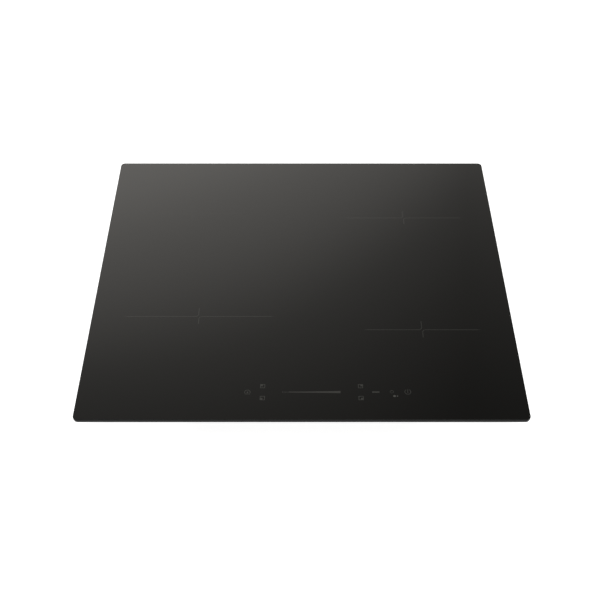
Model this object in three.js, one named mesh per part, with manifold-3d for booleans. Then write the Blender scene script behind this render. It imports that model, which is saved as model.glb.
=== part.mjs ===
// Built-in induction cooktop: a 590 x 520 mm glass-ceramic plate bonded to a shallow folded-steel casing that
// drops into a 560 x 490 mm worktop cut-out. Four coils lie under the glass, two inverter boards and a radial
// fan lie under the coils, and a touch-control unit sits behind the front edge.
// Units are millimetres. +X is the user's right, +Y points away from the user and +Z is up. The origin is
// under the centre of the glass, on the flat bottom of the casing.
import * as THREE from "three";
import { mergeVertices } from "three/addons/utils/BufferGeometryUtils.js";
import Module from "manifold-3d";

const wasm = await Module();
wasm.setup();

// ---------------------------------------------------------------- driving dimensions
const GAP = 0.3; // left between pieces that touch
const RUNNING = 0.08; // radial clearance of a pin or shaft that turns in its bore
const SHEET = 1; // folded sheet metal
const WALL = 1.5; // moulded plastic walls
const BOARD = 1.6; // circuit boards

const GLASS = { width: 590, depth: 520, thick: 4, corner: 6.5, arris: 0.7, bottom: 52 };
const TRAY = { halfX: 275, front: -240, rear: 240, top: 51.4, slopeTop: 28, slopeRun: 28 };
// Shallow pressed grooves that stiffen the casing: across the bottom, along the sides and along the rear.
const BEAD = { width: 4, deep: 0.5, bottom: 5, across: [-160, -120, 20, 60], acrossHalfX: 210 };
const BEAD_RUN = { sides: [-190, 220], rear: [-255, 150] };
const SLOT = { width: 4, pitch: 10, bottom: 14, top: 38, count: 7 }; // air slots in the side and rear walls
const SEAM = 0.6; // gap between folded walls at the casing's corners
const SEAL = { outerInset: 0.8, width: 10, thick: 1.8 };
const FRAME = { leg: 13, flange: 14, frontFlange: 6 };
const PLATE = { bottom: 36.8, thick: 1.2, front: -190, rear: 232, outerX: 268, innerX: 6, leg: 18 };
// How far each plate's legs stand from the centre plane. The rear ones clear the fan and the terminals.
const LEGS = { front: [24, 220], rearLeft: [108, 220], rearRight: [108, 134] };
// Hole under each coil's centre for the sensor, and the slot where the coil's leads go down.
const LEAD_HOLE = { radius: 15, slotWidth: 18, slotDepth: 8, fromRim: 20 };

// Cooking zones: centre and diameter. Left and right zones share their outer, front and rear tangents.
const ZONES = [
  { name: "front_left", x: -144.5, y: -80.5, diameter: 210, bars: 8 },
  { name: "rear_left", x: -169.5, y: 136, diameter: 160, bars: 6 },
  { name: "front_right", x: 167.5, y: -105.5, diameter: 160, bars: 6 },
  { name: "rear_right", x: 157.5, y: 126, diameter: 180, bars: 8 },
];

// Heights in the coil stack, from the carrier plate up to the glass.
const COIL = {
  rimInset: 3, // former rim inside the zone circle
  windingInset: 6,
  barBottom: 38.3,
  barThick: 4,
  barWidth: 12,
  barInner: 20,
  barInset: 3, // end of the bars inside the winding's rim
  tieRing: 26,
  bore: 13, // hole in the middle of the ferrite star and the insulation disc
  webBottom: 42.6,
  webThick: 1.4,
  rimTop: 48.6,
  hubInner: 17,
  hubThick: 3,
  hubTop: 49,
  windingThick: 4,
  discBottom: 49.3,
  discThick: 0.8,
};
const SENSOR = { cap: 8, stem: 4, clip: 6, capBottom: 48.8, clipBottom: 40, clipThick: 1.5, stemBottom: 36 };
const SENSOR_FIT = { chamfer: 0.8, guide: 0.4 }; // chamfer of the cap, and clearance of the stem in its guide
const SENSOR_SPRING = { radius: 5.6, wire: 0.35, turns: 2.5 };

// Air outlet in the casing's sloping front, and the slotted grille behind it.
const VENT = { width: 302, height: 18, lapX: 7, lapY: 4.5 };
const VENT_SLOT = { width: 13, height: 16, pitch: 18.5, count: 16 };
// Slotted disc over the fan's inlet: slots either side of a middle bar, in rows.
const INTAKE = { lap: 9, holeLap: 4, rowsEachSide: 3, pitch: 9, slot: 6, bar: 3 };

const FAN = { x: 36, y: 165, bottom: 3.6, top: 33, inlet: 34 };
const SCROLL = { least: 46, most: 60, tongue: 255, outlet: -62 }; // radii, tongue's angle, outlet's y
const PAST_TONGUE = 7; // degrees from the tongue to where the room inside the scroll starts
const ROTOR = { outer: 42, inner: 33, blades: 18, bladeThick: 1.4, lean: 0.5, bottom: 7, top: 29, disc: 1.6 };
const MOTOR = { radius: 13, bottom: 14, shaft: 2 };

const CARRIER = { halfX: 262, front: -165, rear: 100, top: 3, post: 4, postInset: 8 };
const CARRIER_OPENING = { inner: 60, outer: 180, front: -120, rear: 60 }; // one under each board
const POWER = { outer: 255, inner: 14, front: -150, rear: 95, bottom: 7 };
const CAPACITOR = { x: 100, y: 60, length: 42, width: 22, height: 22 };
const SINK = { inner: 16, width: 44, front: -140, rear: 80, top: 32.5, base: 3, fins: 9, fin: 1.4 };
const DUCT = { halfX: 66, front: -160, rear: 102, bottom: 9.2, top: 34.6, inletHalfX: 22, inletTop: 31 };
const FILTER = { left: 104, right: 150, front: 108, rear: 226 };
const CHOKE = { inner: 7, outer: 18, height: 15, chamfer: 2, fromFront: 30 };

const CONTROL = { left: -90, right: 160, front: -231, rear: -196, bottom: 40, board: 46.3 };
const CONTROL_LEG = { inset: 20, halfX: 5, front: -202, rear: -198, boss: 3 }; // boss: post under the board
// Windows in the light mask, under the printed symbols: centre, half width and half depth.
const CONTROL_WINDOWS = [
  [-71, -215, 5, 5],
  [-51, -205.5, 5, 5],
  [-51, -224.5, 5, 4],
  [14, -215, 40, 4],
  [78, -205.5, 5, 5],
  [78, -224.5, 5, 4],
  [98, -215, 7, 4],
  [121, -218, 6, 7],
  [140, -215, 5, 5],
];

const BOX = { left: 164, right: 248, front: 190, rear: 238.7, bottom: 3.3, top: 35.5 };
const BLOCK = { left: 172, right: 224, front: 196, rear: 214, top: 24 };
const POLE = { count: 6, entry: 2.2, well: 2.8, wellBottom: 19 };
const WINDOW = { left: 168, right: 224, bottom: 5, top: 33 };
const CABLE = { x: 236, z: 19, hole: 8, bore: 6, flange: 2, halfLength: 2.6 };
const LUG = { inset: 2, width: 6 }; // the two lugs that hold the lid's hinge pin
const LID = { left: 166.5, right: 225.5, top: 35, thick: 1.5, hingeY: 242.4, hingeZ: 7, pin: 1, barrel: 2 };
const GRIP = { left: 188, right: 204, height: 3, proud: 1.5 }; // raised rib along the lid's upper edge

const SPRING = { sheet: 0.8, width: 24, y: 120, root: 0.7, top: 47, flat: 40 };
const SPRING_BEND = { peak: 26, peakOut: 6.2, tip: 12, tipOut: 4.2 };

const SCREW = { shank: 1.5, head: 3.5, headThick: 1.6, length: 5, z: 44, clearance: 0.3 };
const SCREWS = [
  { name: "left", x: -TRAY.halfX, y: 60, turn: -Math.PI / 2 },
  { name: "right", x: TRAY.halfX, y: 60, turn: Math.PI / 2 },
  { name: "front", x: 0, y: TRAY.front, turn: 0 },
];

// ---------------------------------------------------------------- materials
function finish(color, roughness, metalness = 0) {
  return new THREE.MeshStandardMaterial({ color, roughness, metalness });
}

const MATERIAL = {
  glass: finish(0x141412, 0.15),
  seal: finish(0x1a1a1a, 0.9),
  steel: finish(0x9a9c9e, 0.4, 0.9),
  spring: finish(0xb8bac0, 0.25, 1),
  aluminium: finish(0xc4c6c8, 0.35, 0.9),
  copper: finish(0xb4683a, 0.4, 0.9),
  ferrite: finish(0x2c2c2e, 0.7),
  mica: finish(0xb9ac8c, 0.7),
  plasticBlack: finish(0x1c1c1e, 0.55),
  plasticGrey: finish(0x8a8c8e, 0.6),
  plasticWhite: finish(0xd8d8d2, 0.5),
  board: finish(0x1d5a34, 0.45),
  capacitor: finish(0x2a4f8c, 0.4),
};

// ---------------------------------------------------------------- helpers
const group = new THREE.Group();

// A three.js geometry as a manifold-3d solid.
function solid(geometry) {
  const bare = new THREE.BufferGeometry();
  bare.setAttribute("position", geometry.getAttribute("position"));
  bare.setIndex(geometry.index);
  const merged = mergeVertices(bare, 1e-4);
  return new wasm.Manifold(
    new wasm.Mesh({
      numProp: 3,
      vertProperties: merged.attributes.position.array,
      triVerts: new Uint32Array(merged.index.array),
    }),
  );
}

// A manifold-3d solid as a three.js geometry.
function geometryOf(body) {
  const mesh = body.getMesh();
  const geometry = new THREE.BufferGeometry();
  geometry.setAttribute("position", new THREE.BufferAttribute(mesh.vertProperties, 3));
  geometry.setIndex(new THREE.BufferAttribute(mesh.triVerts, 1));
  return geometry;
}

const union = (...parts) => parts.reduce((all, part) => all.add(part));

function mesh(name, geometry, material, parent = group) {
  const made = new THREE.Mesh(geometry, material);
  made.name = name;
  parent.add(made);
  return made;
}

function box(x0, x1, y0, y1, z0, z1) {
  const geometry = new THREE.BoxGeometry(x1 - x0, y1 - y0, z1 - z0);
  return geometry.translate((x0 + x1) / 2, (y0 + y1) / 2, (z0 + z1) / 2);
}

// A cylinder standing along +Z.
function post(radius, z0, z1, x = 0, y = 0, sides = 16) {
  const geometry = new THREE.CylinderGeometry(radius, radius, z1 - z0, sides);
  return geometry.rotateX(Math.PI / 2).translate(x, y, (z0 + z1) / 2);
}

// A cylinder lying along +X.
function rod(radius, x0, x1, y, z, sides = 16) {
  const geometry = new THREE.CylinderGeometry(radius, radius, x1 - x0, sides);
  return geometry.rotateZ(Math.PI / 2).translate((x0 + x1) / 2, y, z);
}

// A solid of revolution about +Z, from [radius, z] points that go round the section anticlockwise.
function turned(points, sides = 20) {
  const closed = [...points, points[0]].map(([r, z]) => new THREE.Vector2(r, z));
  return new THREE.LatheGeometry(closed, sides).rotateX(Math.PI / 2);
}

function outline(points) {
  return new THREE.Shape(points.map(([x, y]) => new THREE.Vector2(x, y)));
}

function rectangle(x0, x1, y0, y1) {
  return outline([
    [x0, y0],
    [x1, y0],
    [x1, y1],
    [x0, y1],
  ]);
}

function roundedRectangle(halfX, halfY, radius) {
  const shape = new THREE.Shape();
  shape.absarc(halfX - radius, halfY - radius, radius, 0, Math.PI / 2);
  shape.absarc(radius - halfX, halfY - radius, radius, Math.PI / 2, Math.PI);
  shape.absarc(radius - halfX, radius - halfY, radius, Math.PI, 1.5 * Math.PI);
  shape.absarc(halfX - radius, radius - halfY, radius, 1.5 * Math.PI, 2 * Math.PI);
  return shape;
}

const circle = (x, y, radius) => new THREE.Shape().absarc(x, y, radius, 0, 2 * Math.PI);

// A flat shape raised from z0 to z1.
function raised(shape, z0, z1, curveSegments = 6) {
  const settings = { depth: z1 - z0, bevelEnabled: false, curveSegments };
  return new THREE.ExtrudeGeometry(shape, settings).translate(0, 0, z0);
}

// A flat sheet from z0 to z1 with holes through it.
function pierced(shape, holes, z0, z1, curveSegments = 6) {
  const sheet = solid(raised(shape, z0, z1, curveSegments));
  const cutters = holes.map((hole) => solid(raised(hole, z0 - 1, z1 + 1, curveSegments)));
  return cutters.reduce((body, cutter) => body.subtract(cutter), sheet);
}

// A section drawn in (y, z) and carried along +X from x0 to x1.
function alongX(points, x0, x1) {
  const turn = new THREE.Matrix4().makeBasis(
    new THREE.Vector3(0, 1, 0),
    new THREE.Vector3(0, 0, 1),
    new THREE.Vector3(1, 0, 0),
  );
  return raised(outline(points), x0, x1).applyMatrix4(turn);
}

// ---------------------------------------------------------------- glass, seal and frame
function glassTop() {
  const settings = {
    depth: GLASS.thick - 2 * GLASS.arris,
    bevelThickness: GLASS.arris,
    bevelSize: GLASS.arris,
    bevelOffset: -GLASS.arris,
    bevelSegments: 1,
    curveSegments: 5,
  };
  const shape = roundedRectangle(GLASS.width / 2, GLASS.depth / 2, GLASS.corner);
  const plate = new THREE.ExtrudeGeometry(shape, settings);
  mesh("glass_top", plate, MATERIAL.glass).position.z = GLASS.bottom + GLASS.arris;
}

function perimeterSeal() {
  const halfX = GLASS.width / 2 - SEAL.outerInset;
  const halfY = GLASS.depth / 2 - SEAL.outerInset;
  const top = GLASS.bottom - GAP;
  const corner = GLASS.corner - SEAL.outerInset;
  const opening = roundedRectangle(halfX - SEAL.width, halfY - SEAL.width, 1);
  const ring = pierced(roundedRectangle(halfX, halfY, corner), [opening], top - SEAL.thick, top, 4);
  mesh("perimeter_seal", geometryOf(ring), MATERIAL.seal);
}

// An angle-section ring bonded under the glass. The casing's walls are screwed to its legs.
function glassFrame() {
  const halfX = TRAY.halfX - SHEET - GAP;
  const front = TRAY.front + SHEET + GAP;
  const rear = TRAY.rear - SHEET - GAP;
  const top = GLASS.bottom - GAP;
  const ring = (side, atFront, z0) => {
    const opening = rectangle(side - halfX, halfX - side, front + atFront, rear - side);
    return pierced(rectangle(-halfX, halfX, front, rear), [opening], z0, top);
  };
  const leg = ring(SHEET, SHEET, top - FRAME.leg);
  const flange = ring(FRAME.flange, FRAME.frontFlange, top - SHEET);
  let body = union(leg, flange);
  for (const hole of screwHoles()) body = body.subtract(solid(hole));
  mesh("glass_frame", geometryOf(body), MATERIAL.steel);
}

// ---------------------------------------------------------------- casing
// The casing's side view in (y, z), moved in by inset. Its lower front edge slopes back at 45 degrees.
function sideView(inset, top) {
  const { front, rear, slopeTop, slopeRun } = TRAY;
  const shift = inset * Math.tan(Math.PI / 8);
  return [
    [front + inset, top],
    [front + inset, slopeTop + shift],
    [front + slopeRun + shift, inset],
    [rear - inset, inset],
    [rear - inset, top],
  ];
}

function bottomTray() {
  const { halfX, rear, top } = TRAY;
  const inside = solid(alongX(sideView(SHEET, top + 1), SHEET - halfX, halfX - SHEET));
  let body = solid(alongX(sideView(0, top), -halfX, halfX)).subtract(inside);
  for (const side of [-1, 1]) body = body.subtract(cornerSeam(side));
  const cuts = [
    post(FAN.inlet + INTAKE.holeLap, -SHEET, 3 * SHEET, FAN.x, FAN.y, 32),
    onSlope(new THREE.BoxGeometry(VENT.width, VENT.height, 10 * SHEET)),
    box(WINDOW.left, WINDOW.right, rear - 5, rear + 5, WINDOW.bottom, WINDOW.top),
    new THREE.CylinderGeometry(CABLE.hole, CABLE.hole, 10, 24).translate(CABLE.x, rear, CABLE.z),
    ...sideSlots(),
    ...rearSlots(),
    ...screwHoles(),
    ...beads(),
  ];
  for (const cut of cuts) body = body.subtract(solid(cut));
  mesh("bottom_tray", geometryOf(body), MATERIAL.steel);
}

// The gap round the end of a side wall, where the front and rear walls fold up past it. The wall stays joined
// to the bottom.
function cornerSeam(side) {
  const { halfX, front, rear, top } = TRAY;
  const [x0, x1] = [side * (halfX - SHEET - 0.5), side * (halfX + 1)].sort((a, b) => a - b);
  const ends = solid(alongX(sideView(SHEET, top + 1), x0, x1));
  const wall = solid(alongX(sideView(SHEET + SEAM, top + 2), x0, x1));
  const aboveFold = solid(box(x0, x1, front, rear, 3 * SHEET, top + 2));
  return ends.subtract(wall).intersect(aboveFold);
}

// Grooves along the foot of the side and rear walls and across the bottom.
function beads() {
  const { halfX, rear } = TRAY;
  const { width, deep, bottom, acrossHalfX } = BEAD;
  const across = BEAD.across.map((y) => box(-acrossHalfX, acrossHalfX, y, y + width, -1, deep));
  const sides = [-1, 1].map((side) => {
    const [x0, x1] = [side * (halfX - deep), side * (halfX + 1)].sort((a, b) => a - b);
    return box(x0, x1, ...BEAD_RUN.sides, bottom, bottom + width);
  });
  return [...across, ...sides, box(...BEAD_RUN.rear, rear - deep, rear + 1, bottom, bottom + width)];
}

// Moves a piece drawn about the origin to the middle of the casing's sloping front, with its +Z pointing out.
function onSlope(piece) {
  return piece.rotateX(0.75 * Math.PI).translate(0, TRAY.front + TRAY.slopeRun / 2, TRAY.slopeTop / 2);
}

// The holes that the casing screws go through.
function screwHoles() {
  const radius = SCREW.shank + SCREW.clearance;
  return SCREWS.map(({ x, y, turn }) => {
    const hole = new THREE.CylinderGeometry(radius, radius, 2 * SCREW.length, 12);
    return hole.rotateZ(turn).translate(x, y, SCREW.z);
  });
}

function sideSlots() {
  const slots = [];
  for (const side of [-TRAY.halfX, TRAY.halfX])
    for (let i = 0; i < SLOT.count; i++) {
      const y = (i - (SLOT.count - 1) / 2) * SLOT.pitch;
      slots.push(box(side - 5, side + 5, y - SLOT.width / 2, y + SLOT.width / 2, SLOT.bottom, SLOT.top));
    }
  return slots;
}

function rearSlots() {
  const slots = [];
  for (let i = 0; i < SLOT.count; i++) {
    const x = FAN.x + (i - (SLOT.count - 1) / 2) * SLOT.pitch;
    const [x0, x1] = [x - SLOT.width / 2, x + SLOT.width / 2];
    slots.push(box(x0, x1, TRAY.rear - 5, TRAY.rear + 5, SLOT.bottom, SLOT.top));
  }
  return slots;
}

// Slotted plate behind the window in the casing's sloping front, where the cooling air leaves.
function frontAirGrille() {
  const { width, height, pitch, count } = VENT_SLOT;
  const holes = [];
  for (let i = 0; i < count; i++) {
    const x = (i - (count - 1) / 2) * pitch;
    holes.push(rectangle(x - width / 2, x + width / 2, -height / 2, height / 2));
  }
  const inside = -SHEET - GAP;
  const halfX = VENT.width / 2 + VENT.lapX;
  const halfY = VENT.height / 2 + VENT.lapY;
  const sheet = pierced(rectangle(-halfX, halfX, -halfY, halfY), holes, inside - SHEET, inside);
  mesh("front_air_grille", onSlope(geometryOf(sheet)), MATERIAL.plasticBlack);
}

// Round slotted plate over the fan's air inlet in the casing's bottom.
function fanIntakeGrille() {
  const { lap, rowsEachSide, pitch, slot, bar } = INTAKE;
  const holes = [];
  for (let i = -rowsEachSide; i <= rowsEachSide; i++) {
    const y = i * pitch;
    const half = Math.sqrt((FAN.inlet - 1) ** 2 - y * y);
    const [y0, y1] = [y - slot / 2, y + slot / 2];
    holes.push(rectangle(-half, -bar / 2, y0, y1), rectangle(bar / 2, half, y0, y1));
  }
  const disc = pierced(circle(0, 0, FAN.inlet + lap), holes, SHEET + GAP, 2 * SHEET + GAP, 12);
  const grille = mesh("fan_intake_grille", geometryOf(disc), MATERIAL.plasticBlack);
  grille.position.set(FAN.x, FAN.y, 0);
}

// ---------------------------------------------------------------- coils
// Aluminium sheet that carries two coils, standing on legs folded down at its front and rear edges.
function coilCarrier(side) {
  const { bottom, thick, front, rear, outerX, innerX, leg } = PLATE;
  const { radius, slotWidth, slotDepth, fromRim } = LEAD_HOLE;
  const zones = ZONES.filter((zone) => Math.sign(zone.x) === side);
  const sheet = rectangle(...[side * innerX, side * outerX].sort((a, b) => a - b), front, rear);
  const holes = [];
  for (const { x, y, diameter } of zones) {
    const slotY = y - diameter / 2 + fromRim;
    const [halfX, halfY] = [slotWidth / 2, slotDepth / 2];
    holes.push(circle(x, y, radius), rectangle(x - halfX, x + halfX, slotY - halfY, slotY + halfY));
  }
  let body = pierced(sheet, holes, bottom, bottom + thick);
  const foot = SHEET + GAP;
  const legs = [
    ...LEGS.front.map((x) => [x, front]),
    ...(side < 0 ? LEGS.rearLeft : LEGS.rearRight).map((x) => [x, rear - SHEET]),
  ];
  for (const [x, y] of legs) {
    const [x0, x1] = [side * x, side * (x + leg)].sort((a, b) => a - b);
    body = body.add(solid(box(x0, x1, y, y + SHEET, foot, bottom + thick)));
  }
  mesh(side < 0 ? "coil_carrier_left" : "coil_carrier_right", geometryOf(body), MATERIAL.aluminium);
}

function coilUnit({ name, x, y, diameter, bars }) {
  const unit = new THREE.Group();
  unit.position.set(x, y, 0);
  group.add(unit);
  const radius = diameter / 2;
  mesh(`coil_former_${name}`, coilFormer(radius - COIL.rimInset), MATERIAL.plasticBlack, unit);
  mesh(`coil_winding_${name}`, coilWinding(radius - COIL.windingInset), MATERIAL.copper, unit);
  mesh(`ferrite_star_${name}`, ferriteStar(radius - COIL.windingInset, bars), MATERIAL.ferrite, unit);
  mesh(`insulation_disc_${name}`, insulationDisc(radius - COIL.rimInset), MATERIAL.mica, unit);
  mesh(`temperature_sensor_${name}`, temperatureSensor(), MATERIAL.plasticWhite, unit);
  mesh(`sensor_spring_${name}`, sensorSpring(), MATERIAL.spring, unit);
}

// Moulded disc with a rim outside the winding, a hub inside it and a guide bore for the sensor's stem.
function coilFormer(rim) {
  const { webBottom, webThick, rimTop, hubInner, hubThick, hubTop } = COIL;
  const web = webBottom + webThick;
  const bore = SENSOR.stem + SENSOR_FIT.guide;
  return turned([
    [bore, webBottom],
    [rim, webBottom],
    [rim, rimTop],
    [rim - 1.6, rimTop],
    [rim - 1.6, web],
    [hubInner + hubThick, web],
    [hubInner + hubThick, hubTop],
    [hubInner, hubTop],
    [hubInner, web],
    [bore, web],
  ]);
}

function coilWinding(outer) {
  const bottom = COIL.webBottom + COIL.webThick + GAP;
  const top = bottom + COIL.windingThick;
  const inner = COIL.hubInner + COIL.hubThick + 1;
  return turned([
    [inner, bottom],
    [outer, bottom],
    [outer, top],
    [inner, top],
  ]);
}

// Radial ferrite bars that close the magnetic path under the winding, tied by a ring round the hub.
function ferriteStar(outer, bars) {
  const { barBottom, barThick, barWidth, barInner, barInset, tieRing, bore } = COIL;
  const top = barBottom + barThick;
  let body = solid(post(tieRing, barBottom, top, 0, 0, 32));
  for (let i = 0; i < bars; i++) {
    const bar = box(barInner, outer - barInset, -barWidth / 2, barWidth / 2, barBottom, top);
    body = body.add(solid(bar.rotateZ(((i + 0.5) * 2 * Math.PI) / bars)));
  }
  return geometryOf(body.subtract(solid(post(bore, barBottom - 1, top + 1))));
}

function insulationDisc(outer) {
  const { discBottom, discThick, bore } = COIL;
  const disc = pierced(circle(0, 0, outer), [circle(0, 0, bore)], discBottom, discBottom + discThick, 10);
  return geometryOf(disc);
}

// Spring-loaded probe that the glass holds down: cap, stem and a retaining clip under the former.
function temperatureSensor() {
  const { cap, stem, clip, capBottom, clipBottom, clipThick, stemBottom } = SENSOR;
  const { chamfer } = SENSOR_FIT;
  const top = GLASS.bottom - GAP;
  return turned(
    [
      [0, stemBottom],
      [stem, stemBottom],
      [stem, clipBottom],
      [clip, clipBottom],
      [clip, clipBottom + clipThick],
      [stem, clipBottom + clipThick],
      [stem, capBottom],
      [cap, capBottom],
      [cap, top - chamfer],
      [cap - chamfer, top],
      [0, top],
    ],
    10,
  );
}

class Helix extends THREE.Curve {
  constructor(radius, turns, z0, z1) {
    super();
    Object.assign(this, { radius, turns, z0, z1 });
  }
  getPoint(t, target = new THREE.Vector3()) {
    const angle = 2 * Math.PI * this.turns * t;
    const z = this.z0 + (this.z1 - this.z0) * t;
    return target.set(this.radius * Math.cos(angle), this.radius * Math.sin(angle), z);
  }
}

function sensorSpring() {
  const { radius, wire, turns } = SENSOR_SPRING;
  const z0 = COIL.webBottom + COIL.webThick + GAP + wire;
  const z1 = SENSOR.capBottom - GAP - wire;
  const section = circle(0, 0, wire);
  const settings = { steps: turns * 6, extrudePath: new Helix(radius, turns, z0, z1), curveSegments: 2 };
  return new THREE.ExtrudeGeometry(section, settings);
}

// ---------------------------------------------------------------- electronics
// Moulded insulating sheet under the boards, with a post under each board corner.
function electronicsCarrier() {
  const { halfX, front, rear, top, post: radius, postInset } = CARRIER;
  const bottom = SHEET + GAP;
  let body = solid(box(-halfX, halfX, front, rear, bottom, top));
  const [x0, x1] = [POWER.inner + postInset, POWER.outer - postInset];
  const [y0, y1] = [POWER.front + postInset, POWER.rear - postInset];
  for (const x of [-x1, -x0, x0, x1])
    for (const y of [y0, y1]) body = body.add(solid(post(radius, bottom, POWER.bottom - GAP, x, y, 8)));
  const { inner, outer, front: openFront, rear: openRear } = CARRIER_OPENING;
  for (const ends of [[-outer, -inner], [inner, outer]])
    body = body.subtract(solid(box(...ends, openFront, openRear, 0, top + 2)));
  mesh("electronics_carrier", geometryOf(body), MATERIAL.plasticGrey);
}

function powerBoard(side) {
  const ends = [side * POWER.inner, side * POWER.outer].sort((a, b) => a - b);
  const shape = rectangle(...ends, POWER.front, POWER.rear);
  const name = side < 0 ? "left" : "right";
  mesh(`power_board_${name}`, raised(shape, POWER.bottom, POWER.bottom + BOARD), MATERIAL.board);

  const seat = POWER.bottom + BOARD + GAP;
  mesh(`heatsink_${name}`, heatsink(side, seat), MATERIAL.aluminium);

  const { x, y, length, width, height } = CAPACITOR;
  const capacitor = box(-length / 2, length / 2, -width / 2, width / 2, seat, seat + height);
  mesh(`dc_capacitor_${name}`, capacitor, MATERIAL.capacitor).position.set(side * x, y, 0);
}

// Extruded heatsink: a base with upright fins that run along the air stream.
function heatsink(side, seat) {
  const { inner, width, front, rear, top, base, fins, fin } = SINK;
  const pitch = (width - fin) / (fins - 1);
  const section = [
    [0, seat],
    [width, seat],
  ];
  for (let i = fins - 1; i >= 0; i--) {
    const x = i * pitch;
    section.push([x + fin, top], [x, top]);
    if (i > 0) section.push([x, seat + base], [x - pitch + fin, seat + base]);
  }
  const toY = new THREE.Matrix4().makeBasis(
    new THREE.Vector3(1, 0, 0),
    new THREE.Vector3(0, 0, 1),
    new THREE.Vector3(0, -1, 0),
  );
  const left = side < 0 ? -inner - width : inner;
  return raised(outline(section), -rear, -front).applyMatrix4(toY).translate(left, 0, 0);
}

// Hood over both heatsinks that keeps the fan's air between their fins.
function airDuct() {
  const { halfX, front, rear, bottom, top, inletHalfX, inletTop } = DUCT;
  const hood = solid(box(-halfX, halfX, front, rear, bottom, top));
  const inside = solid(box(WALL - halfX, halfX - WALL, front - 5, rear - WALL, 0, top - WALL));
  const inlet = solid(box(-inletHalfX, inletHalfX, rear - 5, rear + 5, 0, inletTop));
  mesh("air_duct", geometryOf(hood.subtract(inside).subtract(inlet)), MATERIAL.plasticGrey);
}

function filterBoard() {
  const { left, right, front, rear } = FILTER;
  const seat = POWER.bottom + BOARD + GAP;
  const plate = rectangle(left, right, front, rear);
  mesh("filter_board", raised(plate, POWER.bottom, POWER.bottom + BOARD), MATERIAL.board);
  const { inner, outer, height, chamfer, fromFront } = CHOKE;
  const choke = turned([
    [inner, seat],
    [outer - chamfer, seat],
    [outer, seat + chamfer],
    [outer, seat + height - chamfer],
    [outer - chamfer, seat + height],
    [inner, seat + height],
  ]);
  mesh("filter_choke", choke, MATERIAL.copper).position.set((left + right) / 2, front + fromFront, 0);
}

// ---------------------------------------------------------------- cooling fan
// Outline of the scroll: a spiral that widens anticlockwise to a straight outlet towards -Y.
function scroll(inset, tongue, outlet) {
  const { least, most } = SCROLL;
  const end = 540; // one and a half turns: the spiral ends on the -X side
  const steps = 24;
  const points = [];
  for (let i = 0; i <= steps; i++) {
    const angle = tongue + ((end - tongue) * i) / steps;
    const growth = (angle - SCROLL.tongue) / (end - SCROLL.tongue);
    const radius = least + (most - least) * growth - inset;
    const turn = THREE.MathUtils.degToRad(angle);
    points.push([radius * Math.cos(turn), radius * Math.sin(turn)]);
  }
  const side = least * Math.cos(THREE.MathUtils.degToRad(SCROLL.tongue)) - inset;
  points.push([inset - most, outlet], [side, outlet]);
  if (inset > 0) points.push([side, points[0][1] + inset]);
  return outline(points);
}

function fan() {
  const unit = new THREE.Group();
  unit.position.set(FAN.x, FAN.y, 0);
  group.add(unit);
  const shell = solid(raised(scroll(0, SCROLL.tongue, SCROLL.outlet), FAN.bottom, FAN.top));
  const room = scroll(WALL, SCROLL.tongue + PAST_TONGUE, SCROLL.outlet - 8);
  const inside = solid(raised(room, FAN.bottom + WALL, FAN.top - WALL));
  const inlet = solid(post(FAN.inlet, 0, FAN.bottom + 3, 0, 0, 32));
  mesh("fan_housing", geometryOf(shell.subtract(inside).subtract(inlet)), MATERIAL.plasticBlack, unit);

  const motorTop = FAN.top - WALL - GAP;
  const motor = solid(post(MOTOR.radius, MOTOR.bottom, motorTop, 0, 0, 24));
  const bore = solid(post(MOTOR.shaft + RUNNING, 0, motorTop - 3, 0, 0, 16));
  mesh("fan_motor", geometryOf(motor.subtract(bore)), MATERIAL.plasticGrey, unit);
  mesh("fan_impeller", geometryOf(impeller(motorTop - 5)), MATERIAL.plasticBlack, unit);
}

// Radial impeller: blades hang from a disc and are tied by a ring at the bottom. A cup at the middle holds
// the shaft and covers the motor.
function impeller(shaftTop) {
  const { outer, inner, blades, bladeThick, lean, bottom, top, disc } = ROTOR;
  const cupBottom = bottom + 3;
  const cupInner = MOTOR.radius + 1;
  const cupOuter = cupInner + 1.5;
  const hub = turned([
    [0, cupBottom],
    [cupOuter, cupBottom],
    [cupOuter, top - disc],
    [outer, top - disc],
    [outer, top],
    [cupInner, top],
    [cupInner, cupBottom + disc],
    [0, cupBottom + disc],
  ]);
  const ring = turned([
    [inner, bottom],
    [outer, bottom],
    [outer, bottom + disc],
    [inner, bottom + disc],
  ]);
  let body = union(solid(hub), solid(ring), solid(post(MOTOR.shaft, cupBottom + 1, shaftTop, 0, 0, 12)));
  for (let i = 0; i < blades; i++) {
    const blade = box(0, outer - inner, -bladeThick / 2, bladeThick / 2, bottom + 0.5, top - 1);
    blade.rotateZ(lean).translate(inner, 0, 0);
    body = body.add(solid(blade.rotateZ((i * 2 * Math.PI) / blades)));
  }
  return body;
}

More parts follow.
